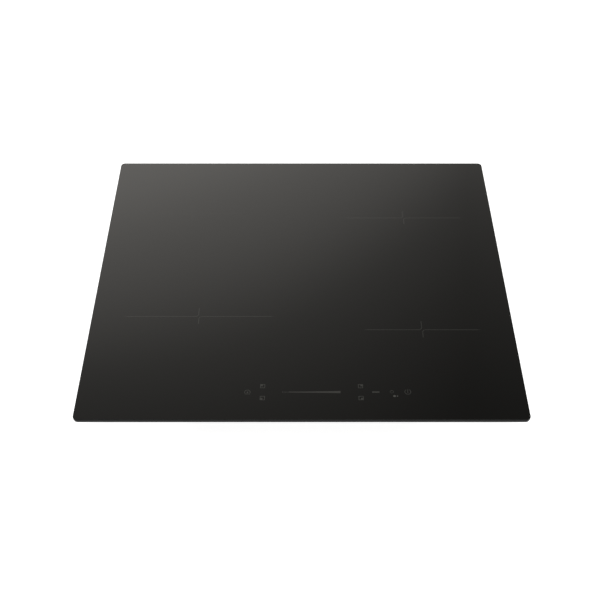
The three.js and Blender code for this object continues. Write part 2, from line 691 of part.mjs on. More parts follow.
// ---------------------------------------------------------------- touch-control unit
// Moulded tray on three legs under the front of the glass, its board, and the mask over the board's lights.
function controlUnit() {
  const { left, right, front, rear, bottom, board } = CONTROL;
  const tray = solid(box(left, right, front, rear, bottom, board - GAP));
  const pocket = solid(box(left + WALL, right - WALL, front + WALL, rear - WALL, bottom + WALL, board + 1));
  let body = tray.subtract(pocket);
  const leg = CONTROL_LEG;
  for (const x of [left + leg.inset, (left + right) / 2, right - leg.inset]) {
    const foot = box(x - leg.halfX, x + leg.halfX, leg.front, leg.rear, SHEET + GAP, bottom + 1);
    const boss = post(leg.boss, bottom + 0.5, board - GAP, x, (front + rear) / 2, 8);
    body = union(body, solid(foot), solid(boss));
  }
  mesh("control_carrier", geometryOf(body), MATERIAL.plasticGrey);

  const sheet = rectangle(left, right, front, rear);
  mesh("control_board", raised(sheet, board, board + BOARD), MATERIAL.board);

  const around = ([x, y, half, deep]) => rectangle(x - half, x + half, y - deep, y + deep);
  const blank = rectangle(left + 4, right - 4, front + 2, rear - 2);
  const mask = pierced(blank, CONTROL_WINDOWS.map(around), board + BOARD + GAP, GLASS.bottom - GAP);
  mesh("control_light_mask", geometryOf(mask), MATERIAL.plasticBlack);
}

// ---------------------------------------------------------------- mains terminals
function terminalBox() {
  const { left, right, front, rear, bottom, top } = BOX;
  const shell = solid(box(left, right, front, rear, bottom, top));
  const inside = solid(box(left + WALL, right - WALL, front + WALL, rear + 5, bottom + WALL, top - WALL));
  let body = shell.subtract(inside);
  // Two lugs reach out through the window in the casing and hold the lid's hinge pin.
  const { hingeY, hingeZ, barrel } = LID;
  const { inset, width } = LUG;
  for (const x of [WINDOW.left + inset, WINDOW.right - inset - width]) {
    const root = box(x, x + width, rear - 6, rear - 1, bottom + 1, hingeZ);
    const arm = box(x, x + width, rear - 6, hingeY, hingeZ - 1.7, hingeZ + barrel);
    body = union(body, solid(root), solid(arm), solid(rod(barrel, x, x + width, hingeY, hingeZ)));
  }
  body = body.subtract(solid(rod(LID.pin + RUNNING, WINDOW.left - 2, WINDOW.right + 2, hingeY, hingeZ)));
  mesh("terminal_box", geometryOf(body), MATERIAL.plasticBlack);
}

// Six-pole block with a wire entry in its rear face and a screw well above each entry.
function terminalBlock() {
  const { left, right, front, rear, top } = BLOCK;
  const { count, entry, well, wellBottom } = POLE;
  const bottom = BOX.bottom + WALL + GAP;
  let body = solid(box(left, right, front, rear, bottom, top));
  const pitch = (right - left) / count;
  for (let i = 0; i < count; i++) {
    const x = left + (i + 0.5) * pitch;
    const wire = new THREE.CylinderGeometry(entry, entry, 12, 8).translate(x, rear, bottom + 6);
    body = body.subtract(solid(wire)).subtract(solid(post(well, wellBottom, top + 6, x, rear - 6, 8)));
    if (i === 0) continue;
    const groove = x - pitch / 2;
    body = body.subtract(solid(box(groove - 0.5, groove + 0.5, front - 1, rear + 1, top - 8, top + 6)));
  }
  mesh("terminal_block", geometryOf(body), MATERIAL.plasticWhite);
}

// Lid over the window in the rear wall. It swings out and down about its lower edge.
function terminalLid() {
  const { left, right, top, thick, hingeY, hingeZ, pin, barrel } = LID;
  const face = TRAY.rear + GAP;
  const reach = LUG.inset + LUG.width + 0.5;
  const [inner0, inner1] = [WINDOW.left + reach, WINDOW.right - reach];
  const plate = solid(box(left, right, face, face + thick, hingeZ + barrel + 0.5, top));
  const neck = solid(box(inner0, inner1, face, face + thick, hingeZ, hingeZ + barrel + 1));
  const knuckle = solid(rod(barrel, inner0, inner1, hingeY, hingeZ));
  const grip = solid(box(GRIP.left, GRIP.right, face, face + thick + GRIP.proud, top - GRIP.height, top));
  const bore = solid(rod(pin + RUNNING, inner0 - 2, inner1 + 2, hingeY, hingeZ));
  mesh("terminal_lid", geometryOf(union(plate, neck, knuckle, grip).subtract(bore)), MATERIAL.plasticBlack);
  const end = LUG.inset + GAP;
  const wire = rod(pin, WINDOW.left + end, WINDOW.right - end, hingeY, hingeZ, 12);
  mesh("terminal_lid_pin", wire, MATERIAL.spring);
}

// Flanged ring that lines the cable hole in the rear wall.
function cableGrommet() {
  const { x, z, hole, bore, flange, halfLength } = CABLE;
  const ring = turned(
    [
      [bore, -halfLength],
      [hole - GAP, -halfLength],
      [hole - GAP, GAP],
      [hole + flange, GAP],
      [hole + flange, halfLength],
      [bore, halfLength],
    ],
    16,
  );
  const grommet = mesh("cable_grommet", ring, MATERIAL.seal);
  grommet.position.set(x, TRAY.rear, z);
  grommet.rotation.x = -Math.PI / 2;
}

// ---------------------------------------------------------------- mounting springs
// A bent leaf that grips the edge of the cut-out, drawn in (out from the wall, z).
function mountingSpring(name, side, y) {
  const { sheet, width, root, top, flat } = SPRING;
  const { peak, peakOut, tip, tipOut } = SPRING_BEND;
  const section = [
    [root, top],
    [root, flat],
    [peakOut, peak],
    [tipOut, tip],
    [tipOut + sheet, tip],
    [peakOut + sheet, peak],
    [root + sheet, flat],
    [root + sheet, top],
  ];
  const toY = new THREE.Matrix4().makeBasis(
    new THREE.Vector3(1, 0, 0),
    new THREE.Vector3(0, 0, 1),
    new THREE.Vector3(0, -1, 0),
  );
  const leaf = raised(outline(section.reverse()), -width / 2, width / 2).applyMatrix4(toY);
  const made = mesh(`mounting_spring_${name}`, leaf, MATERIAL.spring);
  made.position.set(side * TRAY.halfX, y, 0);
  made.rotation.z = side < 0 ? Math.PI : 0;
}

// ---------------------------------------------------------------- screws
// Pan-head screw through the casing wall and the frame's leg. It is drawn along Z, with its head outside.
function casingScrew({ name, x, y, turn }) {
  const { head, headThick, shank, length } = SCREW;
  const body = turned(
    [
      [0, -length],
      [shank, -length],
      [shank, GAP],
      [head, GAP],
      [head, GAP + headThick / 2],
      [head - 0.8, GAP + headThick],
      [0, GAP + headThick],
    ],
    12,
  );
  const screw = mesh(`casing_screw_${name}`, body, MATERIAL.spring);
  screw.position.set(x, y, SCREW.z);
  screw.rotation.set(Math.PI / 2, 0, turn, "ZXY");
}

// ---------------------------------------------------------------- assembly
glassTop();
perimeterSeal();
glassFrame();
bottomTray();
frontAirGrille();
fanIntakeGrille();
for (const side of [-1, 1]) coilCarrier(side);
for (const zone of ZONES) coilUnit(zone);
electronicsCarrier();
for (const side of [-1, 1]) powerBoard(side);
airDuct();
filterBoard();
fan();
controlUnit();
terminalBox();
terminalBlock();
terminalLid();
cableGrommet();
for (const screw of SCREWS) casingScrew(screw);
for (const [name, side, y] of [
  ["front_left", -1, -SPRING.y],
  ["rear_left", -1, SPRING.y],
  ["front_right", 1, -SPRING.y],
  ["rear_right", 1, SPRING.y],
])
  mountingSpring(name, side, y);

export default group;
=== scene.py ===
"""Electric induction cooktop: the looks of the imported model.

Everything is in metres in the model's own frame: +X to the user's right, +Y away from the user, +Z up, with
the origin on the casing's flat bottom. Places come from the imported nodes' boxes. Sizes that are said to be in
millimetres are multiplied by MM where they are used.
"""
import math

import bmesh
import bpy
from mathutils import Matrix, Vector


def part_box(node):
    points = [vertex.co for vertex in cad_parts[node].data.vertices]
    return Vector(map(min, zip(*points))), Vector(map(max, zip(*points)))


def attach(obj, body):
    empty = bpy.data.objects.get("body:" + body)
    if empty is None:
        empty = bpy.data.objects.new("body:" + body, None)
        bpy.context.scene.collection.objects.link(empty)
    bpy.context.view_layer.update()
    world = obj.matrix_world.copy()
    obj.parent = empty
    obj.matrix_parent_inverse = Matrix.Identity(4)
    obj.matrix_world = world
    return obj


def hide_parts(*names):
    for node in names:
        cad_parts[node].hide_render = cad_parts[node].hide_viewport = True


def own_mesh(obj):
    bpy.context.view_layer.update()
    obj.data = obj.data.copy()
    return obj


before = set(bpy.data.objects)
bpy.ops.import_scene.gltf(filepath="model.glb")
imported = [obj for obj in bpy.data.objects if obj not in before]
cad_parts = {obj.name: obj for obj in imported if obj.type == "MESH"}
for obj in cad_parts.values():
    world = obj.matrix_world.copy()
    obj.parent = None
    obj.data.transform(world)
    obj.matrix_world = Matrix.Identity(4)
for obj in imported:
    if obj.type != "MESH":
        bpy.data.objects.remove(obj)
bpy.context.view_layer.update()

MM = 0.001
ROOT = "casing"
SIDES = ("left", "right")
WELD = 1e-7  # points closer than this are one point
SHARP = 30  # edges that turn by more degrees than this stay sharp

# ---- driving dimensions
GLASS_CORNER = 6.5 * MM
GLASS_ARRIS = 0.7 * MM
SHEET_EDGE = 0.25 * MM
INK = 0.04 * MM  # the print stands this much proud of the glass, up to the top of the CAD plate
INK_SINK = INK / 2  # and it reaches this far into the glass
INK_COLOUR = (0.0238, 0.0238, 0.0220)
HAIRLINE = 0.9 * MM
CONTROL_ROW = -215 * MM

# The four cooking zones: each one's diameter in millimetres, and the strength of its printed mark.
ZONE_DIAMETERS = {"front_left": 210, "rear_left": 160, "front_right": 160, "rear_right": 180}
ZONE_INK = {"front_left": 0.85, "rear_left": 0.55, "front_right": 0.8, "rear_right": 0.83}
ZONE_NAMES = list(ZONE_DIAMETERS)


class ZoneMark:
    """Line across a zone, with a hook at each side of the zone's centre."""

    lap = 1.5 * MM  # how far the line reaches past the zone's rim
    hook_heights = (16 * MM, 14 * MM)  # rear and front
    hook_radius = 4.5 * MM
    hook_offset = 0.4 * MM  # from the zone's centre to each hook's upright
    fade = 0.03  # share of the line that fades out at each end


# The printed symbols are in millimetres, with x from the plate's centre and y from the control row.
class Lock:
    x = -71.3
    radius = 3.6
    shackle_y = -0.2
    shackle = (205, -25)  # degrees
    base = (-3.6, -2.7)
    dot = (-1.4, 0.8)
    half_dot = 1.0


class Key:
    x = {"left": -51.5, "right": 77.7}
    side = 6.6
    step = 19.8  # from the front key to the rear one
    dot = 2.6


class Slider:
    x = (-25.4, 51)
    ticks = 4
    tick_pitch = 1.9
    tick = 0.8  # width, and half the height
    gap = 0.4
    widths = (1.4, 3.6)
    growth = 1.6  # over 1, the bar widens mostly towards its right end


class FunctionBar:
    x = (92.6, 102.3)
    y = (-1.1, 1.1)


class Timer:
    x, y = 118.5, 0.6
    radii = (2.4, 1.9)
    hand = 1.5
    hand_width = 0.5


class Indicators:
    y = -6.6
    dots = [(121.6, 1.7), (125.5, 1.0)]  # place and radius


class OnOff:
    x, y = 139.5, 0.3
    radius = 3.9
    ring = (66, -246)  # degrees
    line = 0.75
    bar = (-1.6, 4.4)
    half_bar = 0.4


class Seal:
    width = 10 * MM
    rounding = 0.8 * MM
    least_corner = 0.5 * MM


class Leaf:
    """Mounting spring, in millimetres. Its middle line is given as (out from the casing's wall, height)."""

    line = [(1.1, 47), (1.1, 40), (6.6, 26), (4.6, 12)]
    bend = 3  # from a corner to either end of its bend
    thickness = 0.8


class Screw:
    """Pan-head screw with a cross recess."""

    head = 3.5 * MM
    head_height = 1.6 * MM
    dome = 0.9 * MM
    crown = 0.6  # flat share of the head's radius
    shank = 1.5 * MM
    tip = 0.7  # share of the shank's radius that its end keeps
    tip_length = 0.5 * MM
    arm = (1 * MM, 4 * MM)  # width and length of the recess's arms
    recess = 0.9 * MM


class Grommet:
    """Ring in the rear wall's cable hole. Its flange starts flange_start behind the ring's middle."""

    bore = 6 * MM
    hole = 7.7 * MM
    flange = 10 * MM
    flange_start = 0.3 * MM


class Grille:
    """Slots of the round grille over the fan's inlet, in rows either side of a middle bar."""

    half_bar = 1.5 * MM
    half_slot = 3 * MM
    pitch = 9 * MM
    rows = 3  # in front of the middle row, and as many behind it
    reach = 33 * MM
    corner = 0.98  # share of a slot's half width that its round ends take


class Coil:
    """Former, winding and insulation disc. rim_top is a height in the model's frame."""

    former_bore = 4.4 * MM
    web = 1.4 * MM
    rim_wall = 1.6 * MM
    rim_top = 48.6 * MM
    collar = (20 * MM, 17 * MM)  # outside and inside
    winding_bore = 21 * MM
    wire = 3.5 * MM
    pitch = 1.02  # from turn to turn, in wires
    disc_bore = 13 * MM


class Probe:
    """Temperature probe and its spring. clip_heights and cap_bottom are in the model's frame."""

    stem = 4 * MM
    clip = 6 * MM
    clip_heights = (40 * MM, 41.5 * MM)
    cap_bottom = 48.8 * MM
    travel = 1.5 * MM
    spring_radius = 5.6 * MM
    spring_wire = 0.35 * MM  # half its thickness
    spring_turns = 2.5


class Fan:
    """Impeller. Each pair is inside and outside, and shaft_top is a height in the model's frame."""

    rim = (33 * MM, 42 * MM)
    sheet = 1.6 * MM
    cup = (14 * MM, 15.5 * MM)
    cup_rise = 3 * MM
    shaft = 2 * MM
    shaft_top = 26.2 * MM
    blades = 36
    half_blade = 0.4 * MM
    blade_inset = (0.4 * MM, 0.5 * MM)
    blade_sweep = 0.16  # radians


class Motor:
    radius = 13 * MM
    bore = 2.08 * MM
    bore_end = 3 * MM  # from the motor's top
    chamfer = 1.5 * MM
    groove = (6 * MM, 9.5 * MM)
    groove_depth = 0.7 * MM
    groove_slope = 0.5 * MM


class Choke:
    """Ring core and its winding, in millimetres."""

    core = (9, 15.5)
    margin = 2  # of the core from the winding's top and bottom
    turn = (8.0, 16.6, 1.0, 14.0)  # inner and outer radius, lower and upper height
    turn_rounding = 2.5
    half_wire = 0.85
    turns = 26


class PowerBoard:
    """Parts on the right-hand power board, in millimetres. The left-hand board mirrors them."""

    transistors = [-110, -60, -10, 40]  # places along the heatsink
    transistor_x = 62.3
    transistor_size = (3.8, 16)
    transistor_heights = (3, 19)
    # A box is x, y, width, depth and height, a can x, y, radius and height, and a chip x, y, width and depth.
    boxes = [(150, -105, 30, 16, 20), (150, -75, 30, 16, 20), (190, 60, 24, 14, 15), (95, -120, 18, 12, 12)]
    cans = [(215, -60, 8, 20), (215, -35, 8, 20), (205, 20, 6, 14), (90, -85, 5, 12)]
    chips = [(120, 10, 12, 12), (160, 5, 8, 5), (175, -10, 5, 4), (120, -30, 6, 9), (230, 75, 6, 10)]
    chip_height = 1.6


class TouchBoard:
    """Lights and chips of the touch board, in millimetres."""

    light = (3.2, 1.6, 0.9)
    slider_lights = 10
    chips = [(0, 10, 1.2), (-35, 5, 1), (75, 7, 1)]  # x, side, thickness


class TerminalScrew:
    """Screws of the terminal block. heights are in the model's frame."""

    count = 6
    radius = 2.5 * MM
    heights = (19.2 * MM, 21.2 * MM)
    inset = 6 * MM  # from the block's rear face


# Parts behind the choke, in millimetres: place behind the filter board's front edge, width, depth and height.
FILTER_PARTS = [(58, 26, 9, 17), (72, 26, 9, 17), (92, 8, 24, 9)]


# ---- mesh helpers
def extent(node):
    """A CAD node's lowest corner, highest corner and centre."""
    low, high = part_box(node)
    return low, high, (low + high) / 2


def smooth(mesh, angle):
    """Shades a mesh smooth, with sharp edges where its faces turn by more than angle."""
    for polygon in mesh.polygons:
        polygon.use_smooth = True
    mesh.set_sharp_from_angle(angle=math.radians(angle))


def link(name, bm, angle=SHARP):
    """Turns a bmesh into a linked, smooth object."""
    bmesh.ops.remove_doubles(bm, verts=bm.verts, dist=WELD)
    bmesh.ops.recalc_face_normals(bm, faces=bm.faces)
    mesh = bpy.data.meshes.new(name)
    bm.to_mesh(mesh)
    bm.free()
    smooth(mesh, angle)
    piece = bpy.data.objects.new(name, mesh)
    bpy.context.scene.collection.objects.link(piece)
    return piece


def skin(bm, loops, ring=False):
    """Joins loops of equally many points with faces. A ring closes on itself, otherwise it is capped."""
    rows = [[bm.verts.new(point) for point in loop] for loop in loops]
    count = len(rows[0])
    pairs = list(zip(rows, rows[1:]))
    if ring:
        pairs.append((rows[-1], rows[0]))
    for lower, upper in pairs:
        for i in range(count):
            j = (i + 1) % count
            bm.faces.new([lower[i], lower[j], upper[j], upper[i]])
    if not ring:
        bm.faces.new(list(reversed(rows[0])))
        bm.faces.new(rows[-1])


def turn(bm, profile, segments, at, turned=Matrix.Identity(4)):
    """Solid of revolution about Z from a closed (radius, height) profile, turned and then moved to at."""
    loops = []
    for i in range(segments):
        angle = 2 * math.pi * i / segments
        x, y = math.cos(angle), math.sin(angle)
        loops.append([turned @ Vector((r * x, r * y, z)) + Vector(at) for r, z in profile])
    skin(bm, loops, ring=True)


def bend(start, corner, end, steps):
    """Points of a smooth bend from start to end that is tangent to both lines through corner."""
    points = []
    for k in range(steps + 1):
        t = k / steps
        points.append(start * (1 - t) ** 2 + corner * 2 * t * (1 - t) + end * t * t)
    return points


def soften(points, radius, steps=3):
    """The closed outline with its corners rounded by about radius, apart from the ends of a side on x = 0."""
    most = 0.45  # share of a side that one corner's rounding may take
    made = []
    for i, corner in enumerate(points):
        here = Vector(corner)
        back = Vector(points[i - 1]) - here
        on = Vector(points[(i + 1) % len(points)]) - here
        if here.x < WELD and min(abs(back.x), abs(on.x)) < WELD:
            made.append(here)
            continue
        reach = min(radius, back.length * most, on.length * most)
        made += bend(here + back.normalized() * reach, here, here + on.normalized() * reach, steps)
    return made


def stepped(radii, heights):
    """Outline that goes level from each radius to the next one, at each height in turn."""
    return [(radii[i + k], height) for i, height in enumerate(heights) for k in (0, 1)]


def rectangle(x0, x1, y0, y1):
    return stepped([x0, x1, x0], [y0, y1])


def round_rectangle(half_x, half_y, radius, z, steps=12, centre=(0, 0)):
    """Outline of a rectangle with round corners, at height z."""
    points = []
    for quarter in range(4):
        sx = 1 if quarter in (0, 3) else -1
        sy = 1 if quarter in (0, 1) else -1
        for k in range(steps + 1):
            angle = (quarter + k / steps) * math.pi / 2
            x = centre[0] + sx * (half_x - radius) + radius * math.cos(angle)
            y = centre[1] + sy * (half_y - radius) + radius * math.sin(angle)
            points.append(Vector((x, y, z)))
    return points


def arc(x, y, radius, start, end, steps=20):
    angles = [math.radians(start + (end - start) * k / steps) for k in range(steps + 1)]
    return [(x + radius * math.cos(a), y + radius * math.sin(a)) for a in angles]


def circle(x, y, radius, steps):
    return arc(x, y, radius, 0, 360, steps)[:-1]


def helix(centre, radii, heights, count, per_turn):
    """Path of count steps round an upright axis, from the first radius and height to the second."""
    path = []
    for i in range(count + 1):
        t = i / count
        angle = 2 * math.pi * i / per_turn
        radius = radii[0] + (radii[1] - radii[0]) * t
        z = heights[0] + (heights[1] - heights[0]) * t
        path.append(Vector((centre.x + radius * math.cos(angle), centre.y + radius * math.sin(angle), z)))
    return path


def strip(path, widths):
    """The right-hand and the left-hand edge of a flat strip along path. Each point has its own width."""
    right, left = [], []
    last = len(path) - 1
    for i, (point, width) in enumerate(zip(path, widths)):
        along = (path[min(i + 1, last)] - path[max(i - 1, 0)]).normalized()
        across = Vector((-along.y, along.x)) * width / 2
        right.append(point - across)
        left.append(point + across)
    return right, left


def tube(bm, path, radius, sides=8, closed=False):
    """Round wire along a path."""
    loops = []
    count = len(path)
    side = None
    for i, point in enumerate(path):
        ahead = path[(i + 1) % count] if closed or i < count - 1 else point
        behind = path[i - 1] if closed or i > 0 else point
        along = (ahead - behind).normalized()
        if side is None:
            side = along.orthogonal().normalized()
        side = (side - along * side.dot(along)).normalized()
        other = along.cross(side)
        loop = []
        for k in range(sides):
            angle = 2 * math.pi * k / sides
            loop.append(point + radius * (side * math.cos(angle) + other * math.sin(angle)))
        loops.append(loop)
    skin(bm, loops, ring=closed)


def slab(bm, outlines, z0, z1):
    """Flat plate between z0 and z1 from an outer outline and any holes, given as lists of (x, y)."""
    edges = []
    for points in outlines:
        verts = [bm.verts.new((x, y, z0)) for x, y in points]
        edges += [bm.edges.new((verts[i - 1], verts[i])) for i in range(len(verts))]
    filled = bmesh.ops.triangle_fill(bm, use_beauty=True, use_dissolve=False, edges=edges)
    faces = [made for made in filled["geom"] if isinstance(made, bmesh.types.BMFace)]
    raised = bmesh.ops.extrude_face_region(bm, geom=faces)
    verts = [made for made in raised["geom"] if isinstance(made, bmesh.types.BMVert)]
    bmesh.ops.translate(bm, verts=verts, vec=(0, 0, z1 - z0))


def block(bm, low, high):
    """Rectangular block from corner low to corner high."""
    outline = rectangle(low[0], high[0], low[1], high[1])
    skin(bm, [[Vector((x, y, z)) for x, y in outline] for z in (low[2], high[2])])


def standing_block(bm, x, y, width, depth, z0, z1):
    """Rectangular block centred on (x, y)."""
    block(bm, (x - width / 2, y - depth / 2, z0), (x + width / 2, y + depth / 2, z1))


def lathe(name, outline, centre, segments, radius, steps):
    """Piece turned about an upright axis through centre, with its outline's corners rounded by radius."""
    bm = bmesh.new()
    turn(bm, soften(outline, radius, steps), segments, (centre.x, centre.y, 0))
    return link(name, bm)


def carve(piece, cutter):
    """Cuts cutter out of piece and removes it."""
    modifier = piece.modifiers.new("cut", "BOOLEAN")
    modifier.operation = "DIFFERENCE"
    modifier.solver = "EXACT"
    modifier.use_self = True
    modifier.object = cutter
    bpy.context.view_layer.update()
    depsgraph = bpy.context.evaluated_depsgraph_get()
    cut = bpy.data.meshes.new_from_object(piece.evaluated_get(depsgraph))
    piece.modifiers.clear()
    piece.data = cut
    bpy.data.objects.remove(cutter)
    smooth(cut, SHARP)


def bevel(piece, width, segments=2, angle=SHARP):
    """Rounds the piece's edges that turn by more than angle, and hands the piece back."""
    modifier = piece.modifiers.new("edge", "BEVEL")
    modifier.width = width
    modifier.segments = segments
    modifier.limit_method = "ANGLE"
    modifier.angle_limit = math.radians(angle)
    modifier.harden_normals = True
    return piece


def add(piece, material, body=ROOT, stands_for=(), slot=None):
    """Finishes a new piece: material, body and the CAD nodes it stands for. slot is not used."""
    piece.data.materials.append(material)
    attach(piece, body)
    if stands_for:
        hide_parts(*stands_for)


def dress(node, material, edge=0.0, segments=2):
    """Gives a carried-over CAD node its material and, if asked, rounded edges."""
    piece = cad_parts[node]
    piece.data.materials.clear()
    piece.data.materials.append(material)
    if edge:
        bevel(piece, edge, segments)


# ---- material helpers
class Nodes:
    """Shader nodes of a material or of the world. An input is a value or another node's output."""

    def __init__(self, owner):
        owner.use_nodes = True
        self.nodes, self.links = owner.node_tree.nodes, owner.node_tree.links
        self.coords = self.nodes.new("ShaderNodeTexCoord").outputs

    def feed(self, socket, value):
        if isinstance(value, bpy.types.NodeSocket):
            self.links.new(value, socket)
        else:
            socket.default_value = value

    def make(self, kind, output, inputs, **settings):
        made = self.nodes.new(kind)
        for name, value in settings.items():
            setattr(made, name, value)
        for name, value in inputs.items():
            self.feed(made.inputs[name], value)
        return made.outputs[output]

    def calculate(self, operation, *values):
        return self.make("ShaderNodeMath", "Value", dict(enumerate(values)), operation=operation)

    def mix(self, factor, first, second):
        inputs = {"Factor": factor, "A": first, "B": second}
        return self.make("ShaderNodeMix", "Result", inputs, data_type="RGBA")

    def spread(self, value, low, high, start=0.3, end=0.7):
        """Maps a value from start to end onto low to high."""
        inputs = {"Value": value, "From Min": start, "From Max": end, "To Min": low, "To Max": high}
        return self.make("ShaderNodeMapRange", "Result", inputs)


class Surface(Nodes):
    """A Principled material. Its textures use object coordinates, in metres."""

    def __init__(self, name, colour, roughness, metallic=0.0, **settings):
        self.material = bpy.data.materials.new(name)
        super().__init__(self.material)
        self.set("Base Color", (*colour, 1))
        self.set("Roughness", roughness)
        self.set("Metallic", metallic)
        for key, value in settings.items():
            self.set(key.replace("_", " ").title().replace("Ior", "IOR"), value)

    def set(self, socket, value):
        self.feed(self.nodes["Principled BSDF"].inputs[socket], value)

    def mapped(self, stretch=(1, 1, 1)):
        """Object coordinates times stretch, so that a small number draws a texture out along its axis."""
        return self.make("ShaderNodeMapping", "Vector", {"Vector": self.coords["Object"], "Scale": stretch})

    def noise(self, scale, detail=4, stretch=(1, 1, 1)):
        inputs = {"Vector": self.mapped(stretch), "Scale": scale, "Detail": detail, "Roughness": 0.55}
        return self.make("ShaderNodeTexNoise", "Fac", inputs)

    def cells(self, scale, stretch=(1, 1, 1), output="Color"):
        return self.make("ShaderNodeTexVoronoi", output, {"Vector": self.mapped(stretch), "Scale": scale})

    def blend(self, factor, first, second):
        """Mixes two base colours by a texture."""
        self.set("Base Color", self.mix(factor, (*first, 1), (*second, 1)))

    def rough(self, factor, low, high):
        """Varies the roughness from low to high by a texture."""
        self.set("Roughness", self.spread(factor, low, high))

    def bump(self, height, depth):
        """Raises and lowers the surface by a texture, over depth in all."""
        inputs = {"Height": height, "Distance": depth, "Strength": 1}
        self.set("Normal", self.make("ShaderNodeBump", "Normal", inputs))


def shade(colour, factor):
    return tuple(min(1.0, channel * factor) for channel in colour)


def black_glass():
    surface = Surface("black_glass_ceramic", (0.0020, 0.0020, 0.0018), 0.05, ior=1.5)
    smears = surface.noise(5, detail=5, stretch=(1, 1.6, 1))
    surface.rough(smears, 0.045, 0.065)
    return surface.material


def ground_edge():
    """The plate's ground edge: the same glass with a satin finish, with its reflection turned far down so that
    it looks dark: painted shade.
    """
    # Specular level 0.1 dims the edge's reflection well below that of glass, as painted shade.
    surface = Surface("ground_glass_edge", (0.003, 0.003, 0.003), 0.38, specular_ior_level=0.1)
    surface.bump(surface.noise(1500, detail=3), 0.01 * MM)
    return surface.material


def printed_ink(name, colour, fade=0.0):
    """Fired-on print. With fade, its colour sinks into the glass at both ends of the piece's width."""
    surface = Surface(name, colour, 0.08)
    grain = surface.noise(2500, detail=2)
    if not fade:
        surface.blend(grain, shade(colour, 0.85), shade(colour, 1.15))
        return surface.material
    across = surface.make("ShaderNodeSeparateXYZ", "X", {"Vector": surface.coords["Generated"]})
    near = surface.spread(across, 0, 1, start=0, end=fade)
    far = surface.spread(across, 1, 0, start=1 - fade, end=1)
    surface.blend(surface.calculate("MULTIPLY", near, far), (0.003, 0.003, 0.003), colour)
    return surface.material


def foam():
    surface = Surface("foam", (0.014, 0.014, 0.015), 0.92, specular_ior_level=0.2)
    pores_and_painted_shade = surface.cells(1400, output="Distance")
    # The pores are hollows in the bump, and their colour darkens towards each pore's middle: painted shade in
    # the pores.
    surface.blend(pores_and_painted_shade, (0.008, 0.008, 0.009), (0.024, 0.024, 0.025))
    surface.bump(pores_and_painted_shade, 0.15 * MM)
    return surface.material


def zinc_steel():
    surface = Surface("galvanised_steel", (0.36, 0.37, 0.38), 0.42, 0.9)
    spangle = surface.cells(270)
    surface.blend(spangle, (0.33, 0.34, 0.35), (0.40, 0.41, 0.42))
    surface.rough(surface.noise(35, detail=6), 0.34, 0.50)
    surface.bump(surface.noise(700, detail=3, stretch=(1, 1, 0.25)), 0.02 * MM)
    return surface.material


def sheet_metal(name, colour, roughness, stretch, scale=900):
    """Rolled or drawn metal whose fine lines run along one axis."""
    surface = Surface(name, colour, roughness, 1.0)
    lines = surface.noise(scale, stretch=stretch)
    surface.blend(lines, shade(colour, 0.86), shade(colour, 1.08))
    surface.rough(lines, roughness * 0.8, roughness * 1.25)
    surface.bump(lines, 0.01 * MM)
    return surface.material


def moulded(name, colour, roughness=0.5, grain=1800):
    """Moulded plastic with a fine spark-eroded grain."""
    surface = Surface(name, colour, roughness)
    texture = surface.noise(grain, detail=3)
    surface.blend(surface.noise(12), shade(colour, 0.9), shade(colour, 1.1))
    surface.rough(texture, roughness * 0.85, roughness * 1.15)
    surface.bump(texture, 0.03 * MM)
    return surface.material


def rubber():
    surface = Surface("rubber", (0.022, 0.022, 0.022), 0.7)
    surface.blend(surface.noise(60, detail=5), (0.016, 0.016, 0.016), (0.035, 0.034, 0.033))
    surface.bump(surface.noise(900, detail=3), 0.04 * MM)
    return surface.material


def litz_copper():
    surface = Surface("litz_copper", (0.62, 0.30, 0.14), 0.38, 0.85, coat_weight=0.4)
    strands_and_painted_shade = surface.cells(1500, stretch=(1, 1, 0.6), output="Distance")
    # Each strand is painted lighter at its middle and darker towards its edges: painted highlight on the
    # strands and painted shade between them.
    surface.blend(strands_and_painted_shade, (0.72, 0.38, 0.19), (0.38, 0.16, 0.07))
    surface.bump(strands_and_painted_shade, 0.12 * MM)
    return surface.material


def ferrite():
    surface = Surface("ferrite", (0.05, 0.05, 0.055), 0.75)
    surface.blend(surface.noise(1200, detail=6), (0.03, 0.03, 0.034), (0.09, 0.09, 0.095))
    surface.bump(surface.noise(500, detail=5), 0.08 * MM)
    return surface.material


def mica():
    surface = Surface("mica_sheet", (0.56, 0.50, 0.36), 0.6)
    flakes = surface.cells(260)
    surface.blend(flakes, (0.46, 0.40, 0.27), (0.66, 0.60, 0.46))
    surface.rough(surface.noise(180, detail=5), 0.35, 0.75)
    surface.bump(surface.noise(320, detail=5), 0.05 * MM)
    return surface.material


def circuit_board():
    """Green solder resist with the copper tracks showing through it."""
    surface = Surface("circuit_board", (0.02, 0.12, 0.05), 0.35, coat_weight=0.3)
    inputs = {
        "Vector": surface.mapped(),
        "Scale": 110,
        "Mortar Size": 0.08,
        "Color1": (0.020, 0.125, 0.050, 1),
        "Color2": (0.026, 0.150, 0.062, 1),
        "Mortar": (0.012, 0.070, 0.030, 1),
    }
    tracks = surface.make("ShaderNodeTexBrick", "Color", inputs)
    surface.set("Base Color", tracks)
    surface.bump(tracks.node.outputs["Fac"], 0.05 * MM)
    return surface.material


